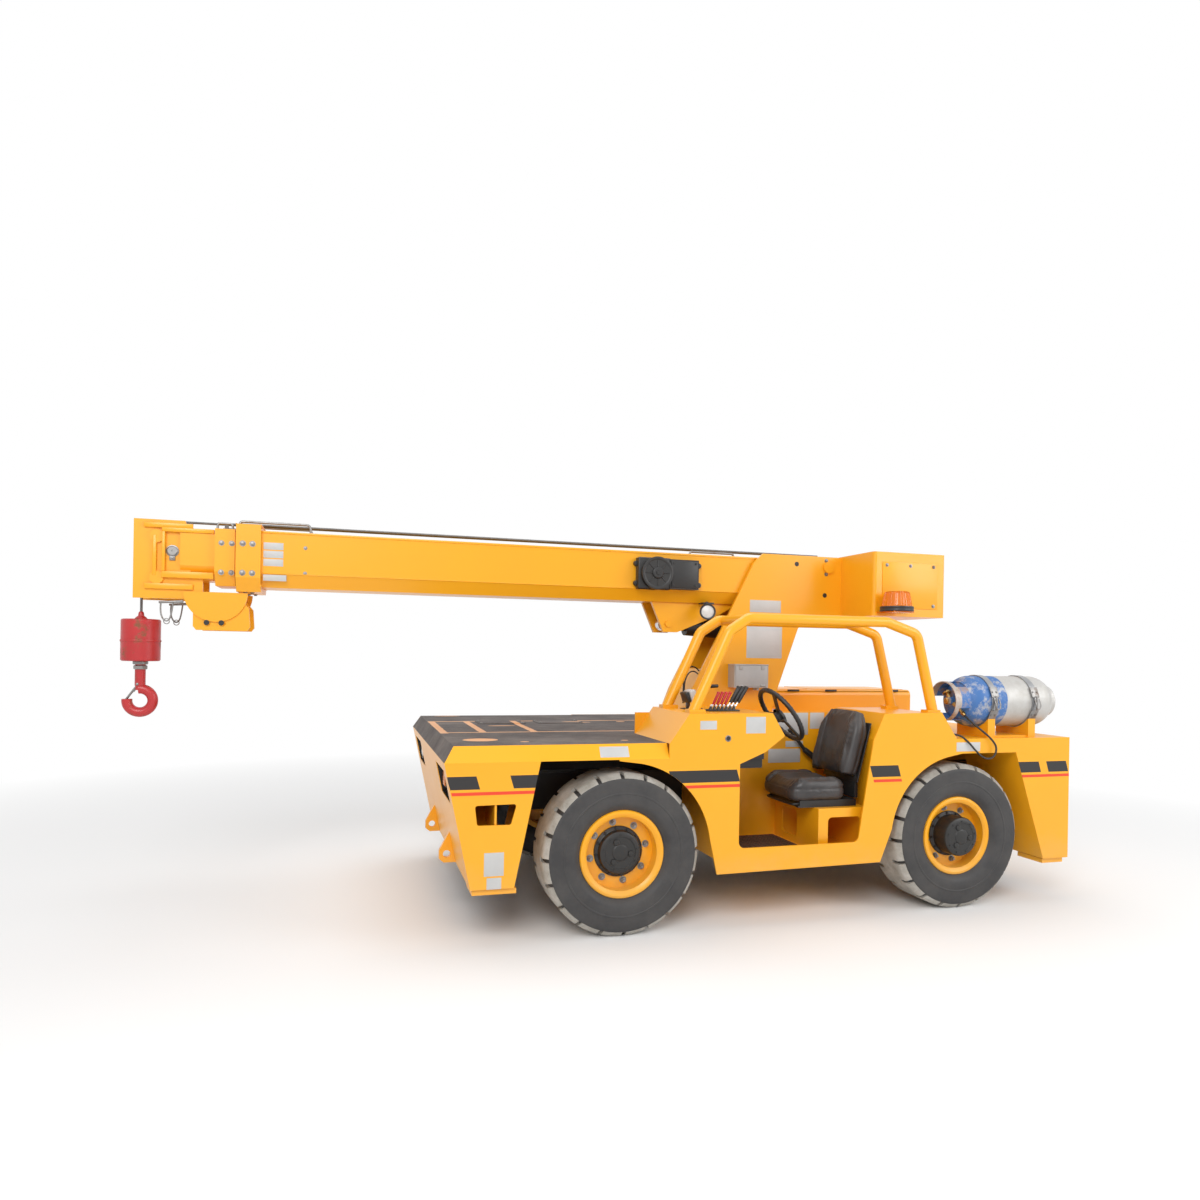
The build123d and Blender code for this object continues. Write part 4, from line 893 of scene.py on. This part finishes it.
# valve levers in one bank: boots, chrome shafts, red grips then black ones, and a bent handle behind
def addLevers(count, reds, x, pitch, y, z, red, black, handleX, handleY, bend, foot):
    plate, shafts, redGrips, blackGrips = (bmesh.new() for kind in range(4))
    addBlock(plate, (x - pitch * (count - 1) - 20, y - 40, z - 1), (x + 22, y + 40, z + 9), 2.0)
    for turn in range(count):
        base = x - turn * pitch
        grip, (lean, height, wide) = (redGrips, red) if turn < reds else (blackGrips, black)
        knee, middle, tip, *rings = [(base - lean * share, y, z + height * share)
                                     for share in (0.36, 0.6, 1, 0.55, 0.67, 0.79)]
        addRod(plate, (base, y, z + 8), (base - 5, y, z + 24), 10.5, 6.0, 16)
        addRod(shafts, (base - 2, y, z + 10), middle, 5.0, sides=14)
        addRod(shafts, (base - 5, y, z + 24), (base - 9, y, z + 34), 6.5, sides=6, edge=0.6)
        addRod(grip, knee, tip, wide * 0.78, wide, 18, 1.2)
        addRod(grip, tip, (tip[0] - 4, y, tip[2] + 10), wide * 1.12, wide * 1.05, 18, 2.0)
        for at in rings:
            addRod(grip, at, (at[0] - 1, y, at[2] + 3), wide * 1.02, sides=18)
    addTube(blackGrips, [(handleX + along, handleY, z + rise) for along, rise in bend], 7)
    knob, knobEnd = (handleX - 66, handleY, z + 130.5), (handleX - 110, handleY, z + 133)
    addRod(blackGrips, knob, knobEnd, 10.5, 9.5, 18, 2.5)
    addTurned(blackGrips, foot, (handleX, handleY, z), (0, 0, 1), 24)
    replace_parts(settle("leverPlate", plate, "black_paint", "chassis"), "control_levers")
    settle("leverShafts", shafts, "rod_chrome", "chassis")
    settle("leverRedGrips", redGrips, "black_plastic", "chassis", extra["redGrip"])
    settle("leverBlackGrips", blackGrips, "black_plastic", "chassis")


steerForm = {
    "hub": (-863, 715, 1102), "face": 35.0, "ring": 168, "ridge": 14.3, "ridges": 40,
    "cap": [(46, -16), (46, -6), (42, 1), (33, 5), (31, 3), (12, 4), (0, 5)],
    "boot": [(26, -35), (34, -30), (30, -22), (35, -15), (30, -8), (34, 0), (29, 8), (32, 15), (26, 20)]
}


# wheel cap, finger ridges round the rim, and the column's boot and switch
def addSteering(hub, face, ring, ridge, ridges, cap, boot):
    hub, turned = Vector(hub), math.radians(face)
    axis, across = Vector((-math.cos(turned), 0, math.sin(turned))), Vector((0, 1, 0))
    up = axis.cross(across)
    shape = bmesh.new()
    addTurned(shape, cap, hub, axis, 40)
    for turn in range(ridges):
        angle = math.tau * turn / ridges
        middle = hub + (across * math.sin(angle) + up * math.cos(angle)) * ring
        along = (across * math.cos(angle) - up * math.sin(angle)) * 4.5
        addRod(shape, middle - along, middle + along, ridge, sides=14)
    settle("steeringDress", shape, "black_plastic", "steering_wheel")
    shape = bmesh.new()
    addTurned(shape, boot, hub - axis * 150, axis, 28)
    addRod(shape, hub - axis * 92, hub - axis * 78, 31, 29, 28, 2.0)
    switch = hub - axis * 85
    end = switch + Vector((-10, 120, 22))
    addTube(shape, [switch, switch + Vector((0, 60, 8)), end], 5)
    addRod(shape, end, end + Vector((-4, 34, 7)), 8, 9, 16, 2.0)
    settle("columnDress", shape, "black_plastic", "chassis")


floorForm = {
    "low": (-968, 452, 357), "high": (-402, 962, 363), "ribs": 17, "pedalX": -440, "pedalYs": (590, 780),
    "pedalZ": 470, "tilt": -28, "arm": [(2, 0), (28, 90), (30, 230), (52, 300)], "leverY": 478
}


# ribbed mat, two pedals on arms, the parking lever by the seat
def addFloor(low, high, ribs, pedalX, pedalYs, pedalZ, tilt, arm, leverY):
    shape = bmesh.new()
    addBlock(shape, low, high, 2.0)
    step = (high[0] - low[0] - 60) / (ribs - 1)
    for turn in range(ribs):
        x = low[0] + 30 + turn * step
        addBlock(shape, (x - 5, low[1] + 25, high[2] - 1), (x + 5, high[1] - 25, high[2] + 2.5), 1.2)
    settle("floorMat", shape, "black_plastic", "chassis", extra["mat"])
    shape = bmesh.new()
    for y in pedalYs:
        plates = [(-8, 4, 42, 0, 48, 3.0)] + [(-12, -7, 36, row * 16 - 32, 3, 1.0) for row in range(5)]
        for back, front, wide, rise, tall, edge in plates:
            z = pedalZ + rise
            near, far = (pedalX + back, y - wide, z - tall), (pedalX + front, y + wide, z + tall)
            turnCorners(shape, addBlock(shape, near, far, edge), tilt, "Y", (pedalX, y, pedalZ))
        addTube(shape, [(pedalX + along, y, pedalZ + rise) for along, rise in arm], 9)
    y = leverY
    addRod(shape, (-1062, y, 986), (-1165, y, 862), 9, 11, 18)
    addRod(shape, (-1156, y, 872), (-1276, y, 782), 16, 22, 24, 5.0)
    addRod(shape, (-1054, y, 996), (-1066, y, 981), 15, sides=20, edge=3.0)
    addBlock(shape, (-1296, 439, 752), (-1236, 496, 800), 4.0)
    settle("pedalsAndLever", shape, "black_paint", "chassis")


cowlForm = {
    "lamp": (-322, 640, 1130), "tilt": 18, "port": (-409, 984, 999),
    "rim": [(17, -2), (17, 2), (14, 4), (12, 3), (11, -1), (0, -1)], "plug": [(12, -1), (11.5, 1.5), (0, 1.5)]
}


# small work lamp on a bracket on the cowl, a plugged port on its side
def addCowlFittings(lamp, tilt, port, rim, plug):
    x, y, z = lamp
    case, head = bmesh.new(), bmesh.new()
    addBlock(case, (x - 34, y - 26, z - 1), (x + 34, y + 26, z + 5), 1.5)
    addBlock(case, (x - 5, y - 22, z + 4), (x + 3, y + 22, z + 46), 1.5)
    rows = ((case, -2, 22, 44, 40, 100, 7.0), (head, -42, -3, 46, 38, 102, 9.0))
    for shape, back, front, wide, low, high, edge in rows:
        corners = addBlock(shape, (x + back, y - wide, z + low), (x + front, y + wide, z + high), edge, 3)
        turnCorners(shape, corners, tilt, "Y", (x, y, z + 60))
    settle("cowlLampCase", case, "black_plastic", "chassis")
    settle("cowlLamp", head, "grey_paint", "chassis", extra["label"])
    ports = (("cowlPort", "steel", rim, 28), ("cowlPortPlug", "black_plastic", plug, 24))
    for name, slot, profile, steps in ports:
        shape = bmesh.new()
        addTurned(shape, profile, port, (0, 1, 0), steps)
        settle(name, shape, slot, "chassis")


addLevers(**leverForm)
addSteering(**steerForm)
addFloor(**floorForm)
addCowlFittings(**cowlForm)
print("operator's place dressed")

# guide rods are given along X and above the boom's top
boomForm = {
    "low": 1757, "top": 2057, "half": 160, "rear": -1545, "collar": 1951, "collarEnd": 2074, "weld": 1830,
    "rise": 28, "boltZs": (1826, 1981), "collarBolts": (1992, 2040), "endBolts": (2097, 2147), "guideY": 108,
    "guides": [[(1703, -2), (1703, 50), (1745, 50), (1900, 50), (2030, 50), (2066, 50), (2066, 20)],
        [(-541, -2), (-541, 20), (-570, 20), (-810, 20), (-842, 20), (-842, -2)]],
    "endGuide": [(2098, -2), (2098, 34), (2122, 34), (2160, 34), (2174, 34), (2174, -2)]
}


# weld beads, edge strips, collar bolts and the rope's guide rods, all on the boom's own sections
def addBoomDress(low, top, half, rear, collar, collarEnd, weld, rise, boltZs, collarBolts, endBolts, guideY,
                 guides, endGuide):
    beads, bolts, endWork = bmesh.new(), bmesh.new(), bmesh.new()
    for x in (collar, collarEnd):
        addRod(beads, (x, -half - rise, top + rise), (x, half + rise, top + rise), 3.0, sides=8)
    addBolts(bolts, (2000, 2034), (-90, 90), [top + rise], (0, 0, 1), 9, 8)
    addBolts(bolts, (2000, 2034), (-90, 90), [low - rise], (0, 0, -1), 9, 8)
    for side in (-1, 1):
        face, out, y = side * half, (0, side, 0), side * guideY
        addSideBlock(beads, side, (rear, collar + 2), (half - 2, half + 4), (top - 12, top), 2.0)
        addRod(beads, (rear + 2, face, weld), (collar, face, weld), 3.2, sides=10)
        addRod(beads, (collar, side * (half - 3), low + 6), (collar, side * (half + 14), low + 6), 5,
               sides=10)
        addBolts(bolts, collarBolts, [side * (half + rise)], boltZs, out, 11, 9)
        addBolts(bolts, [1728], [face], (1838, 1975), out, 7, 5)
        addBolts(endWork, endBolts, [face], boltZs, out, 10, 8)
        for guide in guides:
            addTube(bolts, [(x, y, top + up) for x, up in guide], 7)
        addTube(endWork, [(x, y, top + up) for x, up in endGuide], 6)
    settle("boomBeads", beads, "body_paint", "boom_base")
    settle("boomBolts", bolts, "steel", "boom_base")
    settle("endCollarBolts", endWork, "steel", "boom_mid")


reelForm = {
    "x": -279, "y": 250, "z": 1921, "boxX": (-558, -370), "boxZ": (1831, 2011), "boxY": 225, "inner": 158,
    "rim": [(98, -3), (99, 2), (90, 4), (82, 2), (76, -2)],
    "hub": [(34, -2), (34, 8), (28, 12), (14, 12), (12, 16), (0, 16)], "spokes": 8
}


# pressed ribs and a hub on the cable reel, seams and screws on its box
def addReel(x, y, z, boxX, boxZ, boxY, inner, rim, hub, spokes):
    shape, centre, out = bmesh.new(), Vector((x, y, z)), (0, 1, 0)
    addTurned(shape, rim, centre, out, 60)
    addTurned(shape, hub, centre, out, 36)
    for turn in range(spokes):
        angle = math.tau * turn / spokes
        along = Vector((math.sin(angle), 0, math.cos(angle)))
        addRod(shape, centre + along * 36, centre + along * 76, 4.5, 3.0, 12)
    settle("reelRibs", shape, "black_plastic", "boom_base")
    shape = bmesh.new()
    (low, high), (lowZ, highZ), end = boxX, boxZ, x + 112
    addBlock(shape, (low + 8, boxY - 7, lowZ + 8), (high - 8, boxY, highZ - 8), 3.0)
    addBolts(shape, (low + 22, high - 22), [boxY], (lowZ + 22, highZ - 22), out, 5, 4)
    addRod(shape, (high + 20, 205, lowZ + 26), (high - 6, 205, lowZ + 26), 11, 14, 16, 1.5)
    addBlock(shape, (high - 6, inner, lowZ - 6), (end, 216, highZ + 6), 8.0, 3)
    for footX, footZ in product((low - 14, end), (lowZ + 30, highZ - 30)):
        addRod(shape, (footX, inner, footZ), (footX, 190, footZ), 17, sides=20, edge=3.0)
        addBolt(shape, (footX, 190, footZ), out, 7, 6)
    settle("reelCover", shape, "black_plastic", "boom_base")


floodForm = {
    "face": (-624, 214, 1700), "aim": (0.34, 0.94, 0.02),
    "shell": [(0, -58), (18, -58), (28, -50), (37, -34), (44, -20), (44, -14), (49, -13), (50, 2), (47, 5),
        (40, 4), (38, -3)],
    "lens": [(40, -2), (27, 2), (13.5, 4), (0, 4.5)]
}


# lamp under the boom, aimed outwards, on a short post and plate
def addFloodlight(face, aim, shell, lens):
    shape = bmesh.new()
    addTurned(shape, shell, face, aim, 44)
    back = Vector(face) - Vector(aim) * 40
    addRod(shape, back, (back.x - 4, back.y - 20, 1760), 12, sides=16)
    addBlock(shape, (back.x - 40, 120, 1748), (back.x + 34, 190, 1758), 2.0)
    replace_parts(settle("floodShell", shape, "black_plastic", "boom_base"), "floodlight")
    shape = bmesh.new()
    addTurned(shape, lens, face, aim, 36)
    settle("floodLens", shape, "grey_paint", "boom_base", extra["lens"])


# flanges and frame are spans along X and Z, standing out from the cheek by their reach
headForm = {
    "pin": (2388, 1931), "cheek": 117, "plate": 127,
    "cap": [(31, -1), (31, 3), (26, 4), (26, 10), (22, 13), (5, 13), (4, 10), (0, 10)],
    "flanges": {14: [(2290, 2524, 2050, 2076), (2462, 2482, 1800, 2010), (2286, 2518, 1730, 1760)],
        23: [(2186, 2436, 2030, 2052), (2186, 2436, 1790, 1824), (2420, 2436, 1824, 2030)]},
    "link": [(2436, 1661), (2440, 1612), (2424, 1566), (2398, 1562), (2384, 1606), (2378, 1663)],
    "holes": [(2218, 1560), (2146, 1560)], "hole": [(14, -0.5), (14, 1.0), (11, 1.4), (10, 0.4), (0, 0.4)]
}


# pin caps with keeper plates, hanging links, flanges and holes on the boom's head
def addHead(pin, cheek, plate, cap, flanges, link, holes, hole):
    steel, yellow, dark = bmesh.new(), bmesh.new(), bmesh.new()
    x, z = pin
    for side in (-1, 1):
        out, y = (0, side, 0), side * (plate + 6)
        addTurned(steel, cap, (x, side * cheek, z), out, 32)
        addSideBlock(steel, side, (x - 14, x + 14), (cheek, cheek + 7), (z - 50, z - 22), 2.0)
        addBolt(steel, (x, side * (cheek + 7), z - 38), out, 6, 5)
        addRod(steel, (2330, y, 1668), (2446, y, 1660), 8, 6, 18, 1.0)
        addTube(steel, [(along, y, height) for along, height in link], 4)
        addTurned(steel, [(12, -3), (16, 0), (12, 3)], (2408, y, 1562), (0, 1, 0), 20, closed=True)
        for reach, rows in flanges.items():
            for low, high, lowZ, highZ in rows:
                addSideBlock(yellow, side, (low, high), (cheek - 2, cheek + reach), (lowZ, highZ), 3.0)
        for along, height in holes:
            addTurned(dark, hole, (along, side * plate, height), out, 28)
    settle("headPins", steel, "steel", "boom_tip")
    settle("headFlanges", yellow, "body_paint", "boom_tip")
    settle("tieHoles", dark, "black_paint", "boom_tip")


hookForm = {
    "x": 2555, "low": 1350, "top": 1573, "bands": [(1457.5, 95), (1527, 74)], "ringZ": 1140, "tilt": -28,
    "band": [(-6, -8), (2, -6), (3.5, 0), (2, 6), (-6, 8)],
    "cap": [(30, -14), (30, 4), (25, 10), (15, 18), (13, 34), (9, 40), (0, 40)],
    "collar": [(20, -19), (34, -18), (37, -14), (37, -3), (34, 1), (20, 1)],
    "nut": [(31, -44), (34, -41), (34, -26), (31, -23), (20, -22)]
}


# bands and a cap on the ball, swivel collar, sprung latch across the hook's mouth
def addHookDress(x, low, top, bands, ringZ, tilt, band, cap, collar, nut):
    shape, up = bmesh.new(), (0, 0, 1)
    for height, radius in bands:
        addTurned(shape, [(radius + out, along) for out, along in band], (x, 0, height), up, 56)
    addTurned(shape, cap, (x, 0, top), up, 32)
    for side in (-1, 1):
        addBolts(shape, [x], [side * 58], (top - 22, low + 34), (0, side, 0), 8, 12)
    settle("hookBallBands", shape, "red_paint", "hook_line")
    shape = bmesh.new()
    addTurned(shape, collar, (x, 0, low), up, 40)
    addTurned(shape, nut, (x, 0, low), up, 6)
    settle("hookSwivel", shape, "steel", "hook")
    shape = bmesh.new()
    tipX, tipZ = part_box("hook")[1][0] * 1000 - 24, ringZ + 8
    hingeX, hingeZ = x + 8, ringZ + 88
    for y in (-11, 11):
        addRod(shape, (hingeX, y, hingeZ), (tipX, y * 0.7, tipZ), 4.5, sides=12)
    addRod(shape, (hingeX, -30, hingeZ), (hingeX, 30, hingeZ), 7, sides=16, edge=1.5)
    addRod(shape, (tipX, -10, tipZ), (tipX, 10, tipZ), 5, sides=12)
    corners = addBlock(shape, (hingeX - 3, -12, hingeZ - 48), (hingeX + 3, 12, hingeZ - 4), 1.5)
    turnCorners(shape, corners, tilt, "Y", (hingeX, 0, hingeZ))
    settle("hookLatch", shape, "steel", "hook")


addBoomDress(**boomForm)
addReel(**reelForm)
addFloodlight(**floodForm)
addHead(**headForm)
addHookDress(**hookForm)
print("boom and hook dressed")

mastForm = {
    "face": 192, "pivot": (-1479, 2012), "bolts": [(-1464, 2056), (-1464, 1968)],
    "holes": [(-1456, 1831), (-1249, 2025)],
    "cap": [(33, -1), (33, 3), (27, 4), (27, 9), (23, 12), (6, 12), (5, 8), (0, 8)],
    "hole": [(15, -0.5), (15, 1.2), (12, 1.5), (11, 0.4), (0, 0.4)]
}


# pivot pin ends, bolts and plugged holes on the mast's plates
def addMastDress(face, pivot, bolts, holes, cap, hole):
    steel, dark = bmesh.new(), bmesh.new()
    for side in (-1, 1):
        y, out = side * face, (0, side, 0)
        addTurned(steel, cap, (pivot[0], y, pivot[1]), out, 40)
        for x, z in bolts:
            addBolt(steel, (x, y, z), out, 9, 8)
        for x, z in holes:
            addTurned(dark, hole, (x, y, z), out, 28)
    settle("mastPins", steel, "steel", "turret")
    settle("mastHoles", dark, "black_paint", "turret")


boxForm = {"spanX": (-1010, -780), "spanZ": (1235, 1375), "inner": 192, "outer": 282}


# lid, drip edge, catches and cable glands of the control box
def addControlBox(spanX, spanZ, inner, outer):
    shape = bmesh.new()
    (low, high), (lowZ, highZ) = spanX, spanZ
    addBlock(shape, (low + 7, outer - 2, lowZ + 7), (high - 7, outer + 5, highZ - 7), 3.0)
    addBlock(shape, (low - 3, inner, highZ - 2), (high + 3, outer + 4, highZ + 4), 2.0)
    for x in (low + 40, high - 40):
        addBlock(shape, (x - 12, outer + 3, highZ - 30), (x + 12, outer + 10, highZ - 4), 2.5)
        addRod(shape, (x - 14, outer + 6, lowZ + 12), (x + 14, outer + 6, lowZ + 12), 5, sides=14)
    for y in (inner + 25, inner + 62):
        addRod(shape, (low + 60, y, lowZ + 2), (low + 60, y, lowZ - 18), 12, 10, 20, 1.5)
    settle("controlLid", shape, "grey_paint", "turret")


beaconForm = {
    "at": (-1668, 651, 1715), "dome": 87, "height": 118, "flutes": 36, "screws": 4, "screwCircle": 84,
    "base": [(89, -2), (97, -1), (99, 4), (96.5, 10), (96.5, 16), (98, 22), (96, 28), (84, 29)],
    "skirt": [(88.5, 27), (88.5, 33), (85, 35)], "crown": [(70, 115), (60, 119), (30, 120.5), (0, 121)]
}


# flutes on the dome, base ring with screws
def addBeacon(at, dome, height, flutes, screws, screwCircle, base, skirt, crown):
    centre, up = Vector(at), (0, 0, 1)
    shape = bmesh.new()
    addTurned(shape, base, at, up, 64)
    for turn in range(screws):
        angle = math.tau * turn / screws + 0.6
        out = Vector((math.sin(angle), math.cos(angle), 0))
        addBolt(shape, centre + out * screwCircle + Vector((0, 0, 27)), up, 5, 5)
    settle("beaconBase", shape, "black_plastic", "turret")
    shape = bmesh.new()
    for turn in range(flutes):
        angle = math.tau * turn / flutes
        out = Vector((math.sin(angle), math.cos(angle), 0))
        start = centre + out * (dome - 1.0) + Vector((0, 0, 30))
        end = centre + out * (dome - 16.5) + Vector((0, 0, height - 5))
        addRod(shape, start, end, 2.6, 2.0, 8)
    addTurned(shape, skirt, at, up, 64)
    addTurned(shape, crown, at, up, 48)
    settle("beaconFlutes", shape, "amber_plastic", "turret")


tailForm = {
    "front": -1575, "rear": -2095, "half": 549, "low": 1690, "top": 2085, "boltYs": (-360, -120, 120, 360)
}


# cover plates and their bolts on the tail box
def addTailDress(front, rear, half, low, top, boltYs):
    panels, bolts = bmesh.new(), bmesh.new()
    sideXs = (rear + 90, (rear + front) / 2, front - 90)
    for side in (-1, 1):
        addSideBlock(panels, side, (rear + 60, front - 60), (half - 1, half + 4), (low + 50, top - 60), 2.0)
        addBolts(bolts, sideXs, [side * (half + 4)], (low + 70, top - 80), (0, side, 0), 8, 7)
    addBlock(panels, (rear - 4, -430, low + 60), (rear + 1, 430, top - 70), 2.0)
    addBolts(bolts, [rear - 4], boltYs, (low + 80, top - 92), (-1, 0, 0), 8, 7)
    settle("tailPanels", panels, "body_paint", "turret")
    settle("tailBolts", bolts, "steel", "turret")


addMastDress(**mastForm)
addControlBox(**boxForm)
addBeacon(**beaconForm)
addTailDress(**tailForm)
print("mast and tail dressed")

# each plate: its face along Y, then its span along X and along Z
labelForm = {
    "sunk": 0.6, "thick": 1.2, "edge": 0.5, "tilt": 30.3,
    "plates": {"chassis": [(984, -343, -250, 1047, 1092), (984, -625, -511, 1024, 1111),
        (984, 764, 860, 354, 467), (984, 775, 846, 291, 346), (974, -2584, -2493, 370, 451),
        (984, -2002, -1839, 905, 957), (440, -1313, -1215, 992, 1090), (440, -1202, -982, 956, 1090),
        (440, -1169, -1051, 882, 919), (440, -1151, -935, 789, 872), (961, 131, 283, 908, 967)],
        "turret": [(192, -1151, -903, 1418, 1618), (192, -1140, -922, 1708, 1785)],
        "boom_base": [(160, 1840, 1940, 1958, 1996), (160, 1840, 1940, 1914, 1952),
        (160, 1840, 1940, 1870, 1908), (160, 1823, 1940, 1791, 1824)]}
}


# blank plates; the chassis' last one lies on the deck's sloping edge
def addLabels(sunk, thick, edge, tilt, plates):
    for body, rows in plates.items():
        shape = bmesh.new()
        for y, low, high, lowZ, highZ in rows:
            corners = addBlock(shape, (low, y - sunk, lowZ), (high, y + thick, highZ), edge)
        if body == "chassis":
            turnCorners(shape, corners, tilt, "X", (207, 961.5, 938.5))
        settle(body + "Labels", shape, "grey_paint", body, extra["label"])


noseForm = {
    "x": 1003.8, "y": 760, "z": 770, "ribs": 7, "markerIn": 190, "tailY": 790, "tailZ": 720,
    "rim": [(63, -14), (65, -2), (63, 3), (57, 3), (54, -2)],
    "glass": [(56, -3), (48, 2), (28, 6), (12, 8), (0, 8)]
}


# rims and ribbed glass of the nose lamps, an amber marker beside each, and the tail lamps
def addLamps(x, y, z, ribs, markerIn, tailY, tailZ, rim, glass):
    rims, clear, reds, amber = (bmesh.new() for kind in range(4))
    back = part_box("rear_body")[0][0] * 1000
    for side in (-1, 1):
        lampY, markerY, rearY = side * y, side * (y - markerIn), side * tailY
        addTurned(rims, rim, (x, lampY, z), (1, 0, 0), 48)
        addTurned(clear, glass, (x, lampY, z), (1, 0, 0), 44)
        for turn in range(ribs):
            off = turn * 12 - 36
            reach = math.sqrt(48 ** 2 - off ** 2) * 0.86
            addRod(clear, (x + 4.5, lampY + off, z - reach), (x + 4.5, lampY + off, z + reach), 2.0, sides=8)
        addBlock(rims, (x - 30, markerY - 52, z - 44), (x + 2, markerY + 52, z + 44), 6.0, 3)
        addBlock(amber, (x, markerY - 44, z - 36), (x + 8, markerY + 44, z + 36), 5.0, 3)
        addBlock(rims, (back - 6, rearY - 72, tailZ - 52), (back + 4, rearY + 72, tailZ + 52), 5.0, 3)
        addBlock(reds, (back - 13, rearY - 64, tailZ - 44), (back - 4, rearY + 4, tailZ + 44), 5.0, 3)
        addBlock(amber, (back - 13, rearY + 8, tailZ - 44), (back - 4, rearY + 64, tailZ + 44), 5.0, 3)
    settle("lampRims", rims, "black_plastic", "chassis")
    settle("lampGlass", clear, "grey_paint", "chassis", extra["lens"])
    settle("tailLamps", reds, "red_paint", "chassis", extra["tailRed"])
    settle("turnLamps", amber, "amber_plastic", "chassis")


hoodForm = {
    "lids": ((-2560, -1800), (-1740, -940)), "latches": (-2440, -1910, -1600, -1050), "outer": -974,
    "inner": -440, "low": 977, "top": 1190
}


# engine cover: two lids with latches and hinge tubes
def addHoodDress(lids, latches, outer, inner, low, top):
    yellow, dark = bmesh.new(), bmesh.new()
    for start, end in lids:
        addBlock(yellow, (start, outer + 40, top - 2), (end, inner - 40, top + 4), 3.0)
    for x in latches:
        addBlock(dark, (x - 16, outer - 9, low + 14), (x + 16, outer + 2, low + 50), 3.0)
        addRod(dark, (x - 20, outer - 6, low + 52), (x + 20, outer - 6, low + 52), 5, sides=14, edge=1.0)
        addRod(dark, (x - 45, inner + 4, top - 6), (x + 45, inner + 4, top - 6), 8, sides=16, edge=1.0)
    settle("hoodPanels", yellow, "body_paint", "chassis")
    settle("hoodFittings", dark, "black_paint", "chassis")


# valve rods: start and end from the valve, both radii and the sides
tankForm = {
    "y": 820, "z": 1185, "reach": 156, "straps": (-2110, -2400), "plateAngles": (68, 118), "leverAngle": 93,
    "lever": [(-16, -2, 30), (-18, 12, 6), (-12, 16, -30), (12, 16, -30), (18, 12, 6), (16, -2, 30)],
    "valveX": -1930,
    "valve": [((-2, 0, 0), (-26, 52, -52), 13, 11, 6), ((-24, 48, -48), (-32, 80, -80), 10, 10, 20),
        ((-30, 66, -66), (-31, 72, -72), 15, 15, 6), ((2, 0, 0), (2, -30, 44), 12, 10, 20)],
    "wheel": [(8, 0), (24, 3), (26, 8), (24, 14), (8, 16), (0, 16)],
    "plug": [(20, -1), (20, 5), (15, 9), (0, 9)]
}


# latch plates and levers on the straps, valve with its outlet, hand wheel and end plug
def addTankDress(y, z, reach, straps, plateAngles, leverAngle, lever, valveX, valve, wheel, plug):
    plates, brass = bmesh.new(), bmesh.new()
    for x in straps:
        for angle in plateAngles:
            turned = math.radians(angle)
            out = Vector((0, math.sin(turned), math.cos(turned)))
            centre = Vector((x, y, z)) + out * reach
            low, high = centre - Vector((26, 32, 2)), centre + Vector((26, 32, 5))
            turnCorners(plates, addBlock(plates, low, high, 1.5), -angle, "X", centre)
            for offset in (-14, 14):
                addBolt(plates, centre + Vector((offset, 0, 0)) + out * 5, out, 5, 5)
        turned = math.radians(leverAngle)
        leverY, leverZ = y + (reach + 12) * math.sin(turned), z + (reach + 12) * math.cos(turned)
        addRod(plates, (x, leverY, leverZ + 46), (x, leverY, leverZ - 40), 6, sides=14, edge=1.0)
        addTube(plates, [(x + along, leverY + out, leverZ + rise) for along, out, rise in lever], 3.5)
    settle("tankLatches", plates, "steel", "chassis")
    centre = Vector((valveX, y, z))
    for start, end, radius, endRadius, sides in valve:
        addRod(brass, centre + Vector(start), centre + Vector(end), radius, endRadius, sides, 1.0)
    addTurned(brass, wheel, (valveX + 2, y - 30, z + 40), (0, -0.56, 0.83), 12)
    addTurned(brass, plug, (valveX + 30, y, z), (1, 0, 0), 24)
    settle("tankValve", brass, "steel", "chassis", extra["brass"])


deckForm = {
    "top": 977, "covers": [(560, -330), (180, -330)], "halfX": 150, "halfY": 90, "boltIn": 18, "ringX": -830,
    "ringZ": 1000, "ringBolts": 28, "ringCircle": 350
}


# covers and bolts on the deck, and the slew ring's bolts
def addDeckDress(top, covers, halfX, halfY, boltIn, ringX, ringZ, ringBolts, ringCircle):
    dark, steel = bmesh.new(), bmesh.new()
    offX, offY = halfX - boltIn, halfY - boltIn
    for x, y in covers:
        addBlock(dark, (x - halfX, y - halfY, top - 1), (x + halfX, y + halfY, top + 4), 2.0)
        addBolts(steel, (x - offX, x + offX), (y - offY, y + offY), [top + 4], (0, 0, 1), 7, 6)
    for turn in range(ringBolts):
        angle = math.tau * (turn + 0.5) / ringBolts
        at = (ringX + ringCircle * math.sin(angle), ringCircle * math.cos(angle), ringZ)
        addBolt(steel, at, (0, 0, 1), 9, 8)
    settle("deckCovers", dark, "deck_coat", "chassis")
    settle("deckBolts", steel, "steel", "chassis")


addLabels(**labelForm)
addLamps(**noseForm)
addHoodDress(**hoodForm)
addTankDress(**tankForm)
addDeckDress(**deckForm)
print("chassis dressed")
